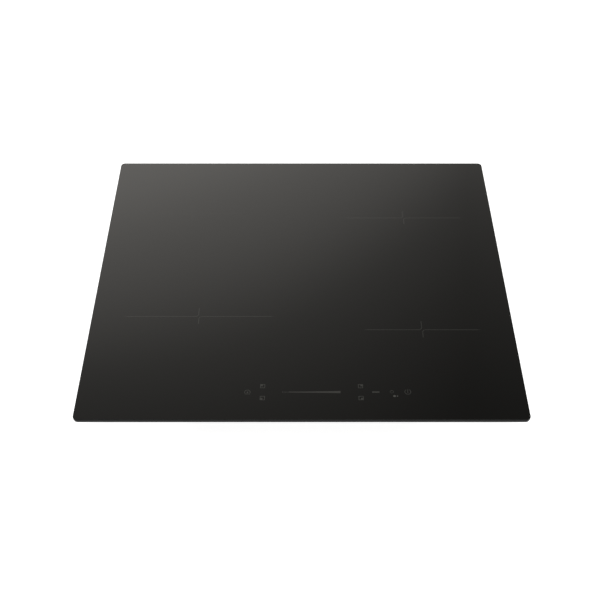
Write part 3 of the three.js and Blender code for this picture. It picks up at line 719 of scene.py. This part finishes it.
def make_materials():
    return {
        "glass": black_glass(),
        "edge": ground_edge(),
        "ink": printed_ink("printed_ink", INK_COLOUR),
        "indicator": printed_ink("indicator_ink", shade(INK_COLOUR, 1.8)),
        "foam": foam(),
        "zinc": zinc_steel(),
        "spring": sheet_metal("spring_steel", (0.42, 0.43, 0.45), 0.28, (1, 0.06, 1)),
        "plated": sheet_metal("plated_steel", (0.50, 0.50, 0.48), 0.32, (1, 1, 1), scale=1400),
        "aluminium": sheet_metal("aluminium_sheet", (0.66, 0.67, 0.68), 0.36, (1, 0.05, 1)),
        "extrusion": sheet_metal("aluminium_extrusion", (0.60, 0.61, 0.62), 0.42, (1, 0.03, 1)),
        "copper": litz_copper(),
        "ferrite": ferrite(),
        "mica": mica(),
        "black": moulded("black_plastic", (0.022, 0.022, 0.024), 0.5),
        "grey": moulded("grey_plastic", (0.30, 0.31, 0.32), 0.55),
        "white": moulded("white_plastic", (0.72, 0.72, 0.68), 0.5),
        "board": circuit_board(),
        "sleeve": moulded("capacitor_sleeve", (0.03, 0.10, 0.30), 0.3, grain=600),
        "epoxy": moulded("epoxy_case", (0.030, 0.030, 0.032), 0.6, grain=900),
        "rubber": rubber(),
    }


# ---- glass and print
def glass_plate(material, edge_material):
    """The plate with its ground edge. Its top lies one layer of ink below the top of the CAD plate."""
    low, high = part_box("glass_top")
    top = high.z - INK
    steps = 4
    angles = [k / steps * math.pi / 2 for k in range(steps + 1)]
    arris = [(GLASS_ARRIS * (1 - math.sin(a)), GLASS_ARRIS * (1 - math.cos(a))) for a in angles]
    profile = [(inset, low.z + rise) for inset, rise in arris]
    profile += [(inset, top - rise) for inset, rise in reversed(arris)]
    loops = []
    for inset, z in profile:
        loops.append(round_rectangle(high.x - inset, high.y - inset, GLASS_CORNER - inset, z))
    bm = bmesh.new()
    skin(bm, loops)
    plate = link("glass_plate", bm, 50)
    add(plate, material, stands_for=["glass_top"], slot="glass")
    plate.data.materials.append(edge_material)
    for polygon in plate.data.polygons:
        flat = abs(polygon.normal.z) > 0.999
        polygon.material_index = 0 if flat else 1
        polygon.use_smooth = not flat


def ink_heights():
    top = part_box("glass_top")[1].z
    return top - INK - INK_SINK, top


def ribbon(bm, path, width):
    """Printed line along a path of (x, y) points. width is a number, or a list of one for each point."""
    z0, z1 = ink_heights()
    widths = width if isinstance(width, list) else [width] * len(path)
    loops = []
    for right, left in zip(*strip([Vector(point) for point in path], widths)):
        loops.append([Vector((*right, z0)), Vector((*left, z0)), Vector((*left, z1)), Vector((*right, z1))])
    skin(bm, loops)


def bar(bm, x0, x1, y0, y1):
    """Printed rectangle, in millimetres from the plate's centre and the control row."""
    z0, z1 = ink_heights()
    block(bm, (x0 * MM, CONTROL_ROW + y0 * MM, z0), (x1 * MM, CONTROL_ROW + y1 * MM, z1))


def zone_mark(name, material):
    """Hairline across the zone, broken at the centre, where one half hooks away and the other hooks near."""
    centre = extent(f"coil_winding_{name}")[2]
    half = ZONE_DIAMETERS[name] / 2 * MM + ZoneMark.lap
    radius, upright = ZoneMark.hook_radius, -ZoneMark.hook_offset
    bm = bmesh.new()
    for way, height in zip((1, -1), ZoneMark.hook_heights):
        path = [(-half, 0), *arc(upright - radius, radius, radius, -90, 0, 10), (upright, height)]
        ribbon(bm, [(centre.x + way * x, centre.y + way * y) for x, y in path], HAIRLINE)
    add(link(f"zone_mark_{name}", bm), material)


def key_mark(bm, x, y, way_x, way_y):
    """Outlined square with one filled corner, which tells the key's zone by its place."""
    half = Key.side / 2 * MM
    inside = half - HAIRLINE
    outer = rectangle(x - half, x + half, y - half, y + half)
    inner = rectangle(x - inside, x + inside, y - inside, y + inside)
    z0, z1 = ink_heights()
    slab(bm, [outer, inner], z0, z1)
    dot = Key.dot * MM
    reach = inside - dot / 2
    standing_block(bm, x + way_x * reach, y + way_y * reach, dot, dot, z0, z1)


def draw_lock(bm):
    """Padlock: a round shackle, the bar under it and a dot."""
    shackle_y = CONTROL_ROW + Lock.shackle_y * MM
    ribbon(bm, arc(Lock.x * MM, shackle_y, Lock.radius * MM, *Lock.shackle), HAIRLINE)
    bar(bm, Lock.x - Lock.radius, Lock.x + Lock.radius, *Lock.base)
    bar(bm, Lock.x - Lock.half_dot, Lock.x + Lock.half_dot, *Lock.dot)


def draw_zone_keys(bm, side):
    """One key for the rear zone and one for the front zone on this side."""
    out = -1 if side == "left" else 1
    for away in (1, -1):
        key_mark(bm, Key.x[side] * MM, CONTROL_ROW + away * Key.step / 2 * MM, out, away)


def draw_slider(bm):
    """Power slider: four ticks, then a bar that widens to the right."""
    start, end = Slider.x
    tick = Slider.tick
    for k in range(Slider.ticks):
        x = start + k * Slider.tick_pitch
        bar(bm, x, x + tick, -tick, tick)
    begin = start + Slider.ticks * Slider.tick_pitch + Slider.gap
    narrow, wide = Slider.widths
    steps = 24
    path, widths = [], []
    for k in range(steps + 1):
        t = k / steps
        path.append(((begin + (end - begin) * t) * MM, CONTROL_ROW))
        widths.append((narrow + (wide - narrow) * t**Slider.growth) * MM)
    ribbon(bm, path, widths)


def draw_function_bar(bm):
    bar(bm, *FunctionBar.x, *FunctionBar.y)


def draw_timer(bm):
    """Small clock face with one hand."""
    x, y = Timer.x * MM, CONTROL_ROW + Timer.y * MM
    slab(bm, [circle(x, y, radius * MM, 32) for radius in Timer.radii], *ink_heights())
    ribbon(bm, [(x, y), (x, y + Timer.hand * MM)], Timer.hand_width * MM)


def draw_indicators(bm):
    """A large and a small dot below the timer."""
    for x, radius in Indicators.dots:
        slab(bm, [circle(x * MM, CONTROL_ROW + Indicators.y * MM, radius * MM, 24)], *ink_heights())


def draw_on_off(bm):
    """Ring with a gap at the top and an upright bar in it."""
    ring = arc(OnOff.x * MM, CONTROL_ROW + OnOff.y * MM, OnOff.radius * MM, *OnOff.ring, 32)
    ribbon(bm, ring, OnOff.line * MM)
    bar(bm, OnOff.x - OnOff.half_bar, OnOff.x + OnOff.half_bar, *OnOff.bar)


def printed(name, material, draw, *choice):
    """One printed piece, drawn by draw."""
    bm = bmesh.new()
    draw(bm, *choice)
    add(link(f"print_{name}", bm), material)


def control_print(material, indicator_material):
    """The row of touch symbols along the front of the glass."""
    printed("lock", material, draw_lock)
    printed("slider", material, draw_slider)
    printed("function_bar", material, draw_function_bar)
    printed("timer", material, draw_timer)
    printed("on_off", material, draw_on_off)
    for side in SIDES:
        printed(f"zone_keys_{side}", material, draw_zone_keys, side)
    printed("indicators", indicator_material, draw_indicators)


# ---- casing
def seal_ring(material):
    low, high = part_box("perimeter_seal")
    corner = GLASS_CORNER - (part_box("glass_top")[1].x - high.x)
    loops = []
    for inset, z in soften(rectangle(0, Seal.width, low.z, high.z), Seal.rounding, steps=4):
        radius = max(corner - inset, Seal.least_corner)
        loops.append(round_rectangle(high.x - inset, high.y - inset, radius, z, steps=8))
    bm = bmesh.new()
    skin(bm, loops, ring=True)
    add(link("seal_foam_ring", bm, 60), material, stands_for=["perimeter_seal"], slot="foam")


def mounting_leaf(name, material):
    """Spring leaf with rounded bends, drawn in (out from the wall, height)."""
    node = f"mounting_spring_{name}"
    low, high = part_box(node)
    side = 1 if low.x > 0 else -1
    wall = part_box("bottom_tray")[1].x
    corners = [Vector(corner) for corner in Leaf.line]
    path = [corners[0]]
    for before, here, after in zip(corners, corners[1:], corners[2:]):
        start = here + (before - here).normalized() * Leaf.bend
        end = here + (after - here).normalized() * Leaf.bend
        path += bend(start, here, end, steps=8)
    path.append(corners[-1])
    right, left = strip(path, [Leaf.thickness] * len(path))
    section = right + list(reversed(left))
    loops = []
    for y in (low.y, high.y):
        loops.append([Vector((side * (wall + out * MM), y, z * MM)) for out, z in section])
    bm = bmesh.new()
    skin(bm, loops)
    piece = bevel(link(f"spring_leaf_{name}", bm), 0.12 * MM, angle=40)
    add(piece, material, f"spring_{name}", [node], "spring_steel")


def casing_screw(name, outward, material):
    """Pan-head screw with a cross recess, its head towards outward."""
    node = f"casing_screw_{name}"
    low, high, centre = extent(node)
    outward = Vector(outward)
    length = max(high - low)
    tip = centre - outward * length / 2
    turned = outward.to_track_quat("Z", "Y").to_matrix().to_4x4()
    seat = length - Screw.head_height
    rim = length - Screw.dome
    profile = [(0, 0), (Screw.shank * Screw.tip, 0), (Screw.shank, Screw.tip_length)]
    profile += [(Screw.shank, seat), (Screw.head, seat)]
    steps = 6
    for k in range(steps + 1):
        angle = k / steps * math.pi / 2
        radius = Screw.head * (Screw.crown + (1 - Screw.crown) * math.cos(angle))
        profile.append((radius, rim + Screw.dome * math.sin(angle)))
    profile.append((0, length))
    bm = bmesh.new()
    turn(bm, profile, 48, tip, turned)
    screw = link(f"screw_{name}", bm)
    cut = bmesh.new()
    for width, depth in (Screw.arm, reversed(Screw.arm)):
        standing_block(cut, 0, 0, width, depth, length - Screw.recess, length + Screw.recess)
    bmesh.ops.transform(cut, matrix=Matrix.Translation(tip) @ turned, verts=cut.verts)
    carve(screw, link(f"cutter_{name}", cut))
    add(screw, material, stands_for=[node], slot="plated_steel")


def grommet(material):
    """Rubber ring in the cable hole, its flange outside the rear wall."""
    low, high, centre = extent("cable_grommet")
    half = (high.y - low.y) / 2
    radii = [Grommet.bore, Grommet.hole, Grommet.flange, Grommet.bore]
    outline = stepped(radii, [-half, Grommet.flange_start, half])
    bm = bmesh.new()
    turn(bm, soften(outline, 0.5 * MM), 64, centre, Matrix.Rotation(-math.pi / 2, 4, "X"))
    add(link("grommet_ring", bm), material, stands_for=["cable_grommet"], slot="rubber")


def intake_grille(material):
    """Round grille over the fan's inlet: rows of slots on either side of a middle bar."""
    low, high, centre = extent("fan_intake_grille")
    half_slot = Grille.half_slot
    holes = []
    for row in range(-Grille.rows, Grille.rows + 1):
        y = row * Grille.pitch
        end = math.sqrt(Grille.reach**2 - y * y)
        half = (end - Grille.half_bar) / 2
        for side in (-1, 1):
            x = side * (Grille.half_bar + half)
            slot = round_rectangle(half, half_slot, half_slot * Grille.corner, 0, 6, (x, y))
            holes.append([(centre.x + p.x, centre.y + p.y) for p in slot])
    bm = bmesh.new()
    slab(bm, [circle(centre.x, centre.y, (high.x - low.x) / 2, 96), *holes], low.z, high.z)
    piece = bevel(link("intake_grille", bm), 0.15 * MM, segments=1, angle=40)
    add(piece, material, stands_for=["fan_intake_grille"], slot="black_plastic")


# ---- coils
def coil_former(name, material):
    """Dish with a rim, and a collar round the temperature probe."""
    node = f"coil_former_{name}"
    low, high, centre = extent(node)
    rim = (high.x - low.x) / 2
    web = low.z + Coil.web
    radii = [Coil.former_bore, rim, rim - Coil.rim_wall, *Coil.collar, Coil.former_bore]
    outline = stepped(radii, [low.z, Coil.rim_top, web, high.z, web])
    piece = lathe(f"former_{name}", outline, centre, 96, radius=0.4 * MM, steps=2)
    add(piece, material, stands_for=[node], slot="black_plastic")


def coil_winding(name, material):
    """One layer of stranded wire wound as a flat spiral."""
    node = f"coil_winding_{name}"
    low, high, centre = extent(node)
    outer = (high.x - low.x) / 2 - Coil.wire / 2
    inner = Coil.winding_bore + Coil.wire / 2
    turns = (outer - inner) / (Coil.wire * Coil.pitch)
    per_turn = 48
    path = helix(centre, (inner, outer), (centre.z, centre.z), int(turns * per_turn), per_turn)
    bm = bmesh.new()
    tube(bm, path, Coil.wire / 2)
    add(link(f"winding_{name}", bm, 60), material, stands_for=[node], slot="copper")


def insulation_disc(name, material):
    node = f"insulation_disc_{name}"
    low, high, centre = extent(node)
    outline = rectangle(Coil.disc_bore, (high.x - low.x) / 2, low.z, high.z)
    piece = lathe(f"disc_{name}", outline, centre, 96, radius=0.15 * MM, steps=2)
    add(piece, material, stands_for=[node], slot="mica")


def temperature_sensor(name, material):
    """Probe: a stem with a clip collar on it and a wide cap that touches the glass."""
    node = f"temperature_sensor_{name}"
    low, high, centre = extent(node)
    radii = [0, Probe.stem, Probe.clip, Probe.stem, (high.x - low.x) / 2, 0]
    outline = stepped(radii, [low.z, *Probe.clip_heights, Probe.cap_bottom, high.z])
    piece = lathe(f"probe_{name}", outline, centre, 48, radius=0.6 * MM, steps=3)
    add(piece, material, f"sensor_{name}", [node], "white_plastic")


def sensor_spring(name, material):
    """Helical spring round the probe's stem."""
    node = f"sensor_spring_{name}"
    low, high, centre = extent(node)
    wire = Probe.spring_wire
    ends = (low.z + wire, high.z - wire)
    per_turn = 32
    path = helix(centre, [Probe.spring_radius] * 2, ends, int(Probe.spring_turns * per_turn), per_turn)
    bm = bmesh.new()
    tube(bm, path, wire)
    piece = link(f"spring_coil_{name}", bm, 60)
    add(piece, material, stands_for=[node], slot="spring_steel")
    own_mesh(piece)


# ---- fan
def impeller(material):
    """Hub, disc and tie ring with thin curved blades between them."""
    low, high, centre = extent("fan_impeller")
    at = (centre.x, centre.y, 0)
    rim_inside, rim_outside = Fan.rim
    cup_inside, cup_outside = Fan.cup
    cup_bottom = low.z + Fan.cup_rise
    heights = [cup_bottom, high.z - Fan.sheet, high.z, cup_bottom + Fan.sheet, Fan.shaft_top]
    hub = stepped([0, cup_outside, rim_outside, cup_inside, Fan.shaft, 0], heights)
    bm = bmesh.new()
    for outline in (hub, rectangle(rim_inside, rim_outside, low.z, low.z + Fan.sheet)):
        turn(bm, soften(outline, 0.4 * MM, steps=2), 96, at)
    start = rim_inside + Fan.blade_inset[0]
    end = rim_outside - Fan.blade_inset[1]
    steps = 6
    for i in range(Fan.blades):
        base = 2 * math.pi * i / Fan.blades
        near, far = [], []
        for k in range(steps + 1):
            t = k / steps
            angle = base + Fan.blade_sweep * t * t
            along = Vector((math.cos(angle), math.sin(angle)))
            across = Vector((-along.y, along.x)) * Fan.half_blade
            near.append(along * (start + (end - start) * t) - across)
            far.append(along * (start + (end - start) * t) + across)
        section = near + list(reversed(far))
        loops = []
        for z in (low.z + Fan.sheet / 2, high.z - Fan.sheet / 2):
            loops.append([Vector((centre.x + p.x, centre.y + p.y, z)) for p in section])
        skin(bm, loops)
    add(link("impeller", bm), material, "fan_rotor", ["fan_impeller"], "black_plastic")


def motor(material):
    """Motor can with a groove round it and the shaft's bore in its lower end."""
    low, high, centre = extent("fan_motor")
    groove_start, groove_end = low.z + Motor.groove[0], low.z + Motor.groove[1]
    groove_radius = Motor.radius - Motor.groove_depth
    outline = [
        (Motor.bore, low.z),
        (Motor.radius - Motor.chamfer, low.z),
        (Motor.radius, low.z + Motor.chamfer),
        (Motor.radius, groove_start),
        (groove_radius, groove_start + Motor.groove_slope),
        (groove_radius, groove_end - Motor.groove_slope),
        (Motor.radius, groove_end),
        (Motor.radius, high.z),
        (0, high.z),
        (0, high.z - Motor.bore_end),
        (Motor.bore, high.z - Motor.bore_end),
    ]
    piece = lathe("motor_can", outline, centre, 64, radius=0.3 * MM, steps=2)
    add(piece, material, stands_for=["fan_motor"], slot="grey_plastic")


# ---- electronics
def choke(materials):
    """Ring core with its winding in two halves."""
    low, high, centre = extent("filter_choke")
    inside, outside = (radius * MM for radius in Choke.core)
    core = rectangle(inside, outside, low.z + Choke.margin * MM, high.z - Choke.margin * MM)
    piece = lathe("choke_core", core, centre, 64, radius=1 * MM, steps=3)
    add(piece, materials["ferrite"], slot="ferrite")
    foot = Vector((centre.x, centre.y, low.z))
    loop = soften(rectangle(*Choke.turn), Choke.turn_rounding, steps=4)
    bm = bmesh.new()
    for i in range(Choke.turns):
        if i in (0, Choke.turns // 2):
            continue
        angle = 2 * math.pi * i / Choke.turns
        along = Vector((math.cos(angle), math.sin(angle), 0))
        path = [foot + along * radius * MM + Vector((0, 0, height * MM)) for radius, height in loop]
        tube(bm, path, Choke.half_wire * MM, closed=True)
    piece = link("choke_winding", bm, 60)
    add(piece, materials["copper"], stands_for=["filter_choke"], slot="copper")


def board_parts(side, materials):
    """Parts that stand on a power board: case outlines only, with no markings."""
    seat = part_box(f"power_board_{side}")[1].z
    mirror = MM if side == "right" else -MM
    boxes, cans, chips = bmesh.new(), bmesh.new(), bmesh.new()
    width, depth = (size * MM for size in PowerBoard.transistor_size)
    z0, z1 = (seat + height * MM for height in PowerBoard.transistor_heights)
    for y in PowerBoard.transistors:
        standing_block(chips, mirror * PowerBoard.transistor_x, y * MM, width, depth, z0, z1)
    for x, y, width, depth, height in PowerBoard.boxes:
        standing_block(boxes, mirror * x, y * MM, width * MM, depth * MM, seat, seat + height * MM)
    for x, y, radius, height in PowerBoard.cans:
        outline = rectangle(0, radius * MM, seat, seat + height * MM)
        turn(cans, soften(outline, 0.7 * MM), 40, (mirror * x, y * MM, 0))
    top = seat + PowerBoard.chip_height * MM
    for x, y, width, depth in PowerBoard.chips:
        standing_block(chips, mirror * x, y * MM, width * MM, depth * MM, seat, top)
    for label, bm, material, slot in (
        ("relays", boxes, materials["white"], "white_plastic"),
        ("electrolytics", cans, materials["sleeve"], "capacitor_case"),
        ("transistors", chips, materials["epoxy"], "black_plastic"),
    ):
        piece = link(f"{label}_{side}", bm)
        if bm is not cans:
            bevel(piece, 0.3 * MM)
        add(piece, material, slot=slot)


def filter_parts(material):
    """Two box capacitors and a fuse holder on the mains filter board, behind the choke."""
    low, high, centre = extent("filter_board")
    bm = bmesh.new()
    for behind, width, depth, height in FILTER_PARTS:
        y, top = low.y + behind * MM, high.z + height * MM
        standing_block(bm, centre.x, y, width * MM, depth * MM, high.z, top)
    add(bevel(link("filter_parts", bm), 0.5 * MM), material, slot="grey_plastic")


def control_lights(material):
    """Lights on the touch board: one under each symbol but the dots, and a row under the slider."""
    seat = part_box("control_board")[1].z
    width, depth, height = (size * MM for size in TouchBoard.light)
    places = [(x, 0) for x in (Lock.x, sum(FunctionBar.x) / 2, Timer.x, OnOff.x)]
    for x in Key.x.values():
        places += [(x, Key.step / 2), (x, -Key.step / 2)]
    start, end = Slider.x
    pitch = (end - start) / TouchBoard.slider_lights
    places += [(start + (k + 0.5) * pitch, 0) for k in range(TouchBoard.slider_lights)]
    bm = bmesh.new()
    for x, away in places:
        standing_block(bm, x * MM, CONTROL_ROW + away * MM, width, depth, seat, seat + height)
    add(bevel(link("control_lights", bm), 0.12 * MM), material, slot="white_plastic")


def control_chips(material):
    """The touch controller and two smaller chips, on the underside of the touch board."""
    low, _, centre = extent("control_board")
    bm = bmesh.new()
    for x, side, thickness in TouchBoard.chips:
        standing_block(bm, x * MM, centre.y, side * MM, side * MM, low.z - thickness * MM, low.z)
    add(bevel(link("control_chips", bm), 0.15 * MM), material, slot="black_plastic")


def terminal_screws(material):
    """Screw heads in the wells of the terminal block."""
    low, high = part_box("terminal_block")
    pitch = (high.x - low.x) / TerminalScrew.count
    outline = soften(rectangle(0, TerminalScrew.radius, *TerminalScrew.heights), 0.3 * MM, steps=2)
    bm = bmesh.new()
    for i in range(TerminalScrew.count):
        turn(bm, outline, 32, (low.x + (i + 0.5) * pitch, high.y - TerminalScrew.inset, 0))
    add(link("terminal_screws", bm), material, slot="plated_steel")


# ---- stage
# Brightness of the backdrop against its height above the horizon. It is brightest a little over half way up.
BACKDROP = [(0.30, 0.70), (0.45, 1.00), (0.53, 1.90), (0.58, 1.88), (0.62, 1.47)]
BACKDROP += [(0.66, 1.21), (0.70, 0.90), (0.74, 0.50), (0.79, 0.33), (0.86, 0.09)]
BACKDROP_PEAK = 2.0
BACKDROP_START = (-0.2, 0.3)  # how far behind the object the room turns into the backdrop
SLANT = 1.29  # how fast the backdrop sinks towards the right at the horizon
SLANT_LOSS = 1.3  # and how much slower it does so higher up
SLANT_ENDS = (-0.3, 0.165)  # it stays level further to the left and to the right
ROOM_LIGHT = 0.5
PALE = 1.0
WARMTH = (1, 0.97, 0.92)
FLOOR_RADIUS = 8
FLOOR_THICKNESS = 0.01


def surroundings():
    """Soft light from a tall backdrop behind the object, which falls off upwards and to the right."""
    world = bpy.data.worlds.new("studio")
    bpy.context.scene.world = world
    sky = Nodes(world)

    def tone(level, tint=(1, 1, 1)):
        return (*(level / BACKDROP_PEAK * channel for channel in tint), 1)

    split = sky.make("ShaderNodeSeparateXYZ", "X", {"Vector": sky.coords["Generated"]}).node
    x, y, z = split.outputs
    near_x = sky.calculate("MAXIMUM", sky.calculate("MINIMUM", x, SLANT_ENDS[1]), SLANT_ENDS[0])
    drift = sky.calculate("ADD", sky.calculate("MULTIPLY_ADD", z, -SLANT_LOSS, SLANT), near_x)
    height = sky.calculate("MULTIPLY_ADD", near_x, drift, z)

    ramp = sky.make("ShaderNodeValToRGB", "Color", {"Fac": height})
    ramp.node.color_ramp.interpolation = "B_SPLINE"
    elements = ramp.node.color_ramp.elements
    while len(elements) < len(BACKDROP):
        elements.new(0.5)
    for element, (place, level) in zip(elements, BACKDROP):
        element.position = place
        element.color = tone(level, WARMTH)
    behind = sky.spread(y, 0, 1, *BACKDROP_START)
    room = sky.mix(behind, tone(ROOM_LIGHT, WARMTH), ramp)

    # Seen directly, past the edge of the floor, the studio is one pale tone.
    seen = sky.make("ShaderNodeLightPath", "Is Camera Ray", {})
    background = sky.nodes["Background"].inputs
    sky.feed(background["Color"], sky.mix(seen, room, tone(PALE)))
    sky.feed(background["Strength"], BACKDROP_PEAK)


def studio():
    """Plain pale floor, the surrounding light and one overhead panel."""
    bm = bmesh.new()
    slab(bm, [circle(0, 0, FLOOR_RADIUS, 96)], -FLOOR_THICKNESS, 0)
    floor = link("floor", bm)
    surface = Surface("pale_floor", (0.4, 0.4, 0.4), 0.9)
    surface.blend(surface.noise(3, detail=2), (0.39, 0.39, 0.39), (0.41, 0.41, 0.41))
    surface.set("Emission Color", (1, 1, 1, 1))
    surface.set("Emission Strength", 0.9)
    floor.data.materials.append(surface.material)

    surroundings()

    panel = bpy.data.lights.new("overhead_panel", "AREA")
    panel.shape = "RECTANGLE"
    panel.size = 2.4
    panel.size_y = 1.8
    panel.energy = 60
    lamp = bpy.data.objects.new("overhead_panel", panel)
    lamp.location = (0, -0.2, 2.3)
    bpy.context.scene.collection.objects.link(lamp)


class View:
    """The camera's place against the front edge and the top of the glass, and how far it looks down."""

    lens = 59.88
    x = -0.0022
    in_front = 0.7670
    above = 1.0369
    down = 46.665  # degrees


def camera():
    """A 60 mm lens that looks down at the plate from the front."""
    low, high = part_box("glass_top")
    data = bpy.data.cameras.new("camera")
    data.sensor_width = 36
    data.lens = View.lens
    data.clip_start, data.clip_end = 0.05, 50
    eye = bpy.data.objects.new("camera", data)
    eye.location = (View.x, low.y - View.in_front, high.z + View.above)
    eye.rotation_euler = (math.radians(90 - View.down), 0, 0)
    bpy.context.scene.collection.objects.link(eye)
    bpy.context.scene.camera = eye
    bpy.context.scene.view_settings.view_transform = "Standard"


# ---- assembly
# CAD pieces that are shown as they are: material and width of the rounded edges.
CAD_LOOKS = {
    "bottom_tray": ("zinc", SHEET_EDGE),
    "glass_frame": ("zinc", SHEET_EDGE),
    "front_air_grille": ("black", 0.2 * MM),
    "electronics_carrier": ("grey", 0.3 * MM),
    "air_duct": ("grey", 0.4 * MM),
    "filter_board": ("board", 0),
    "fan_housing": ("black", 0.3 * MM),
    "control_carrier": ("grey", 0.3 * MM),
    "control_board": ("board", 0),
    "control_light_mask": ("black", 0.2 * MM),
    "terminal_box": ("black", 0.3 * MM),
    "terminal_block": ("white", 0.3 * MM),
    "terminal_lid": ("black", 0.25 * MM),
    "terminal_lid_pin": ("plated", 0.15 * MM),
}


def main():
    camera()
    studio()
    materials = make_materials()

    glass_plate(materials["glass"], materials["edge"])
    for name in ZONE_NAMES:
        colour = shade(INK_COLOUR, ZONE_INK[name])
        zone_mark(name, printed_ink(f"zone_ink_{name}", colour, fade=ZoneMark.fade))
    control_print(materials["ink"], materials["indicator"])

    seal_ring(materials["foam"])
    for name in ZONE_NAMES:
        mounting_leaf(name, materials["spring"])
    for name, outward in (("left", (-1, 0, 0)), ("right", (1, 0, 0)), ("front", (0, -1, 0))):
        casing_screw(name, outward, materials["plated"])
    grommet(materials["rubber"])
    intake_grille(materials["black"])

    for name in ZONE_NAMES:
        coil_former(name, materials["black"])
        coil_winding(name, materials["copper"])
        insulation_disc(name, materials["mica"])
        temperature_sensor(name, materials["white"])
        sensor_spring(name, materials["spring"])
        dress(f"ferrite_star_{name}", materials["ferrite"], 0.4 * MM)
    impeller(materials["black"])
    motor(materials["grey"])
    choke(materials)
    filter_parts(materials["grey"])
    terminal_screws(materials["plated"])
    control_lights(materials["white"])
    control_chips(materials["epoxy"])

    for side in SIDES:
        dress(f"coil_carrier_{side}", materials["aluminium"], 0.2 * MM)
        dress(f"power_board_{side}", materials["board"])
        dress(f"heatsink_{side}", materials["extrusion"], 0.15 * MM)
        dress(f"dc_capacitor_{side}", materials["sleeve"], 1 * MM, segments=3)
        board_parts(side, materials)
    for node, (look, edge) in CAD_LOOKS.items():
        dress(node, materials[look], edge)


main()
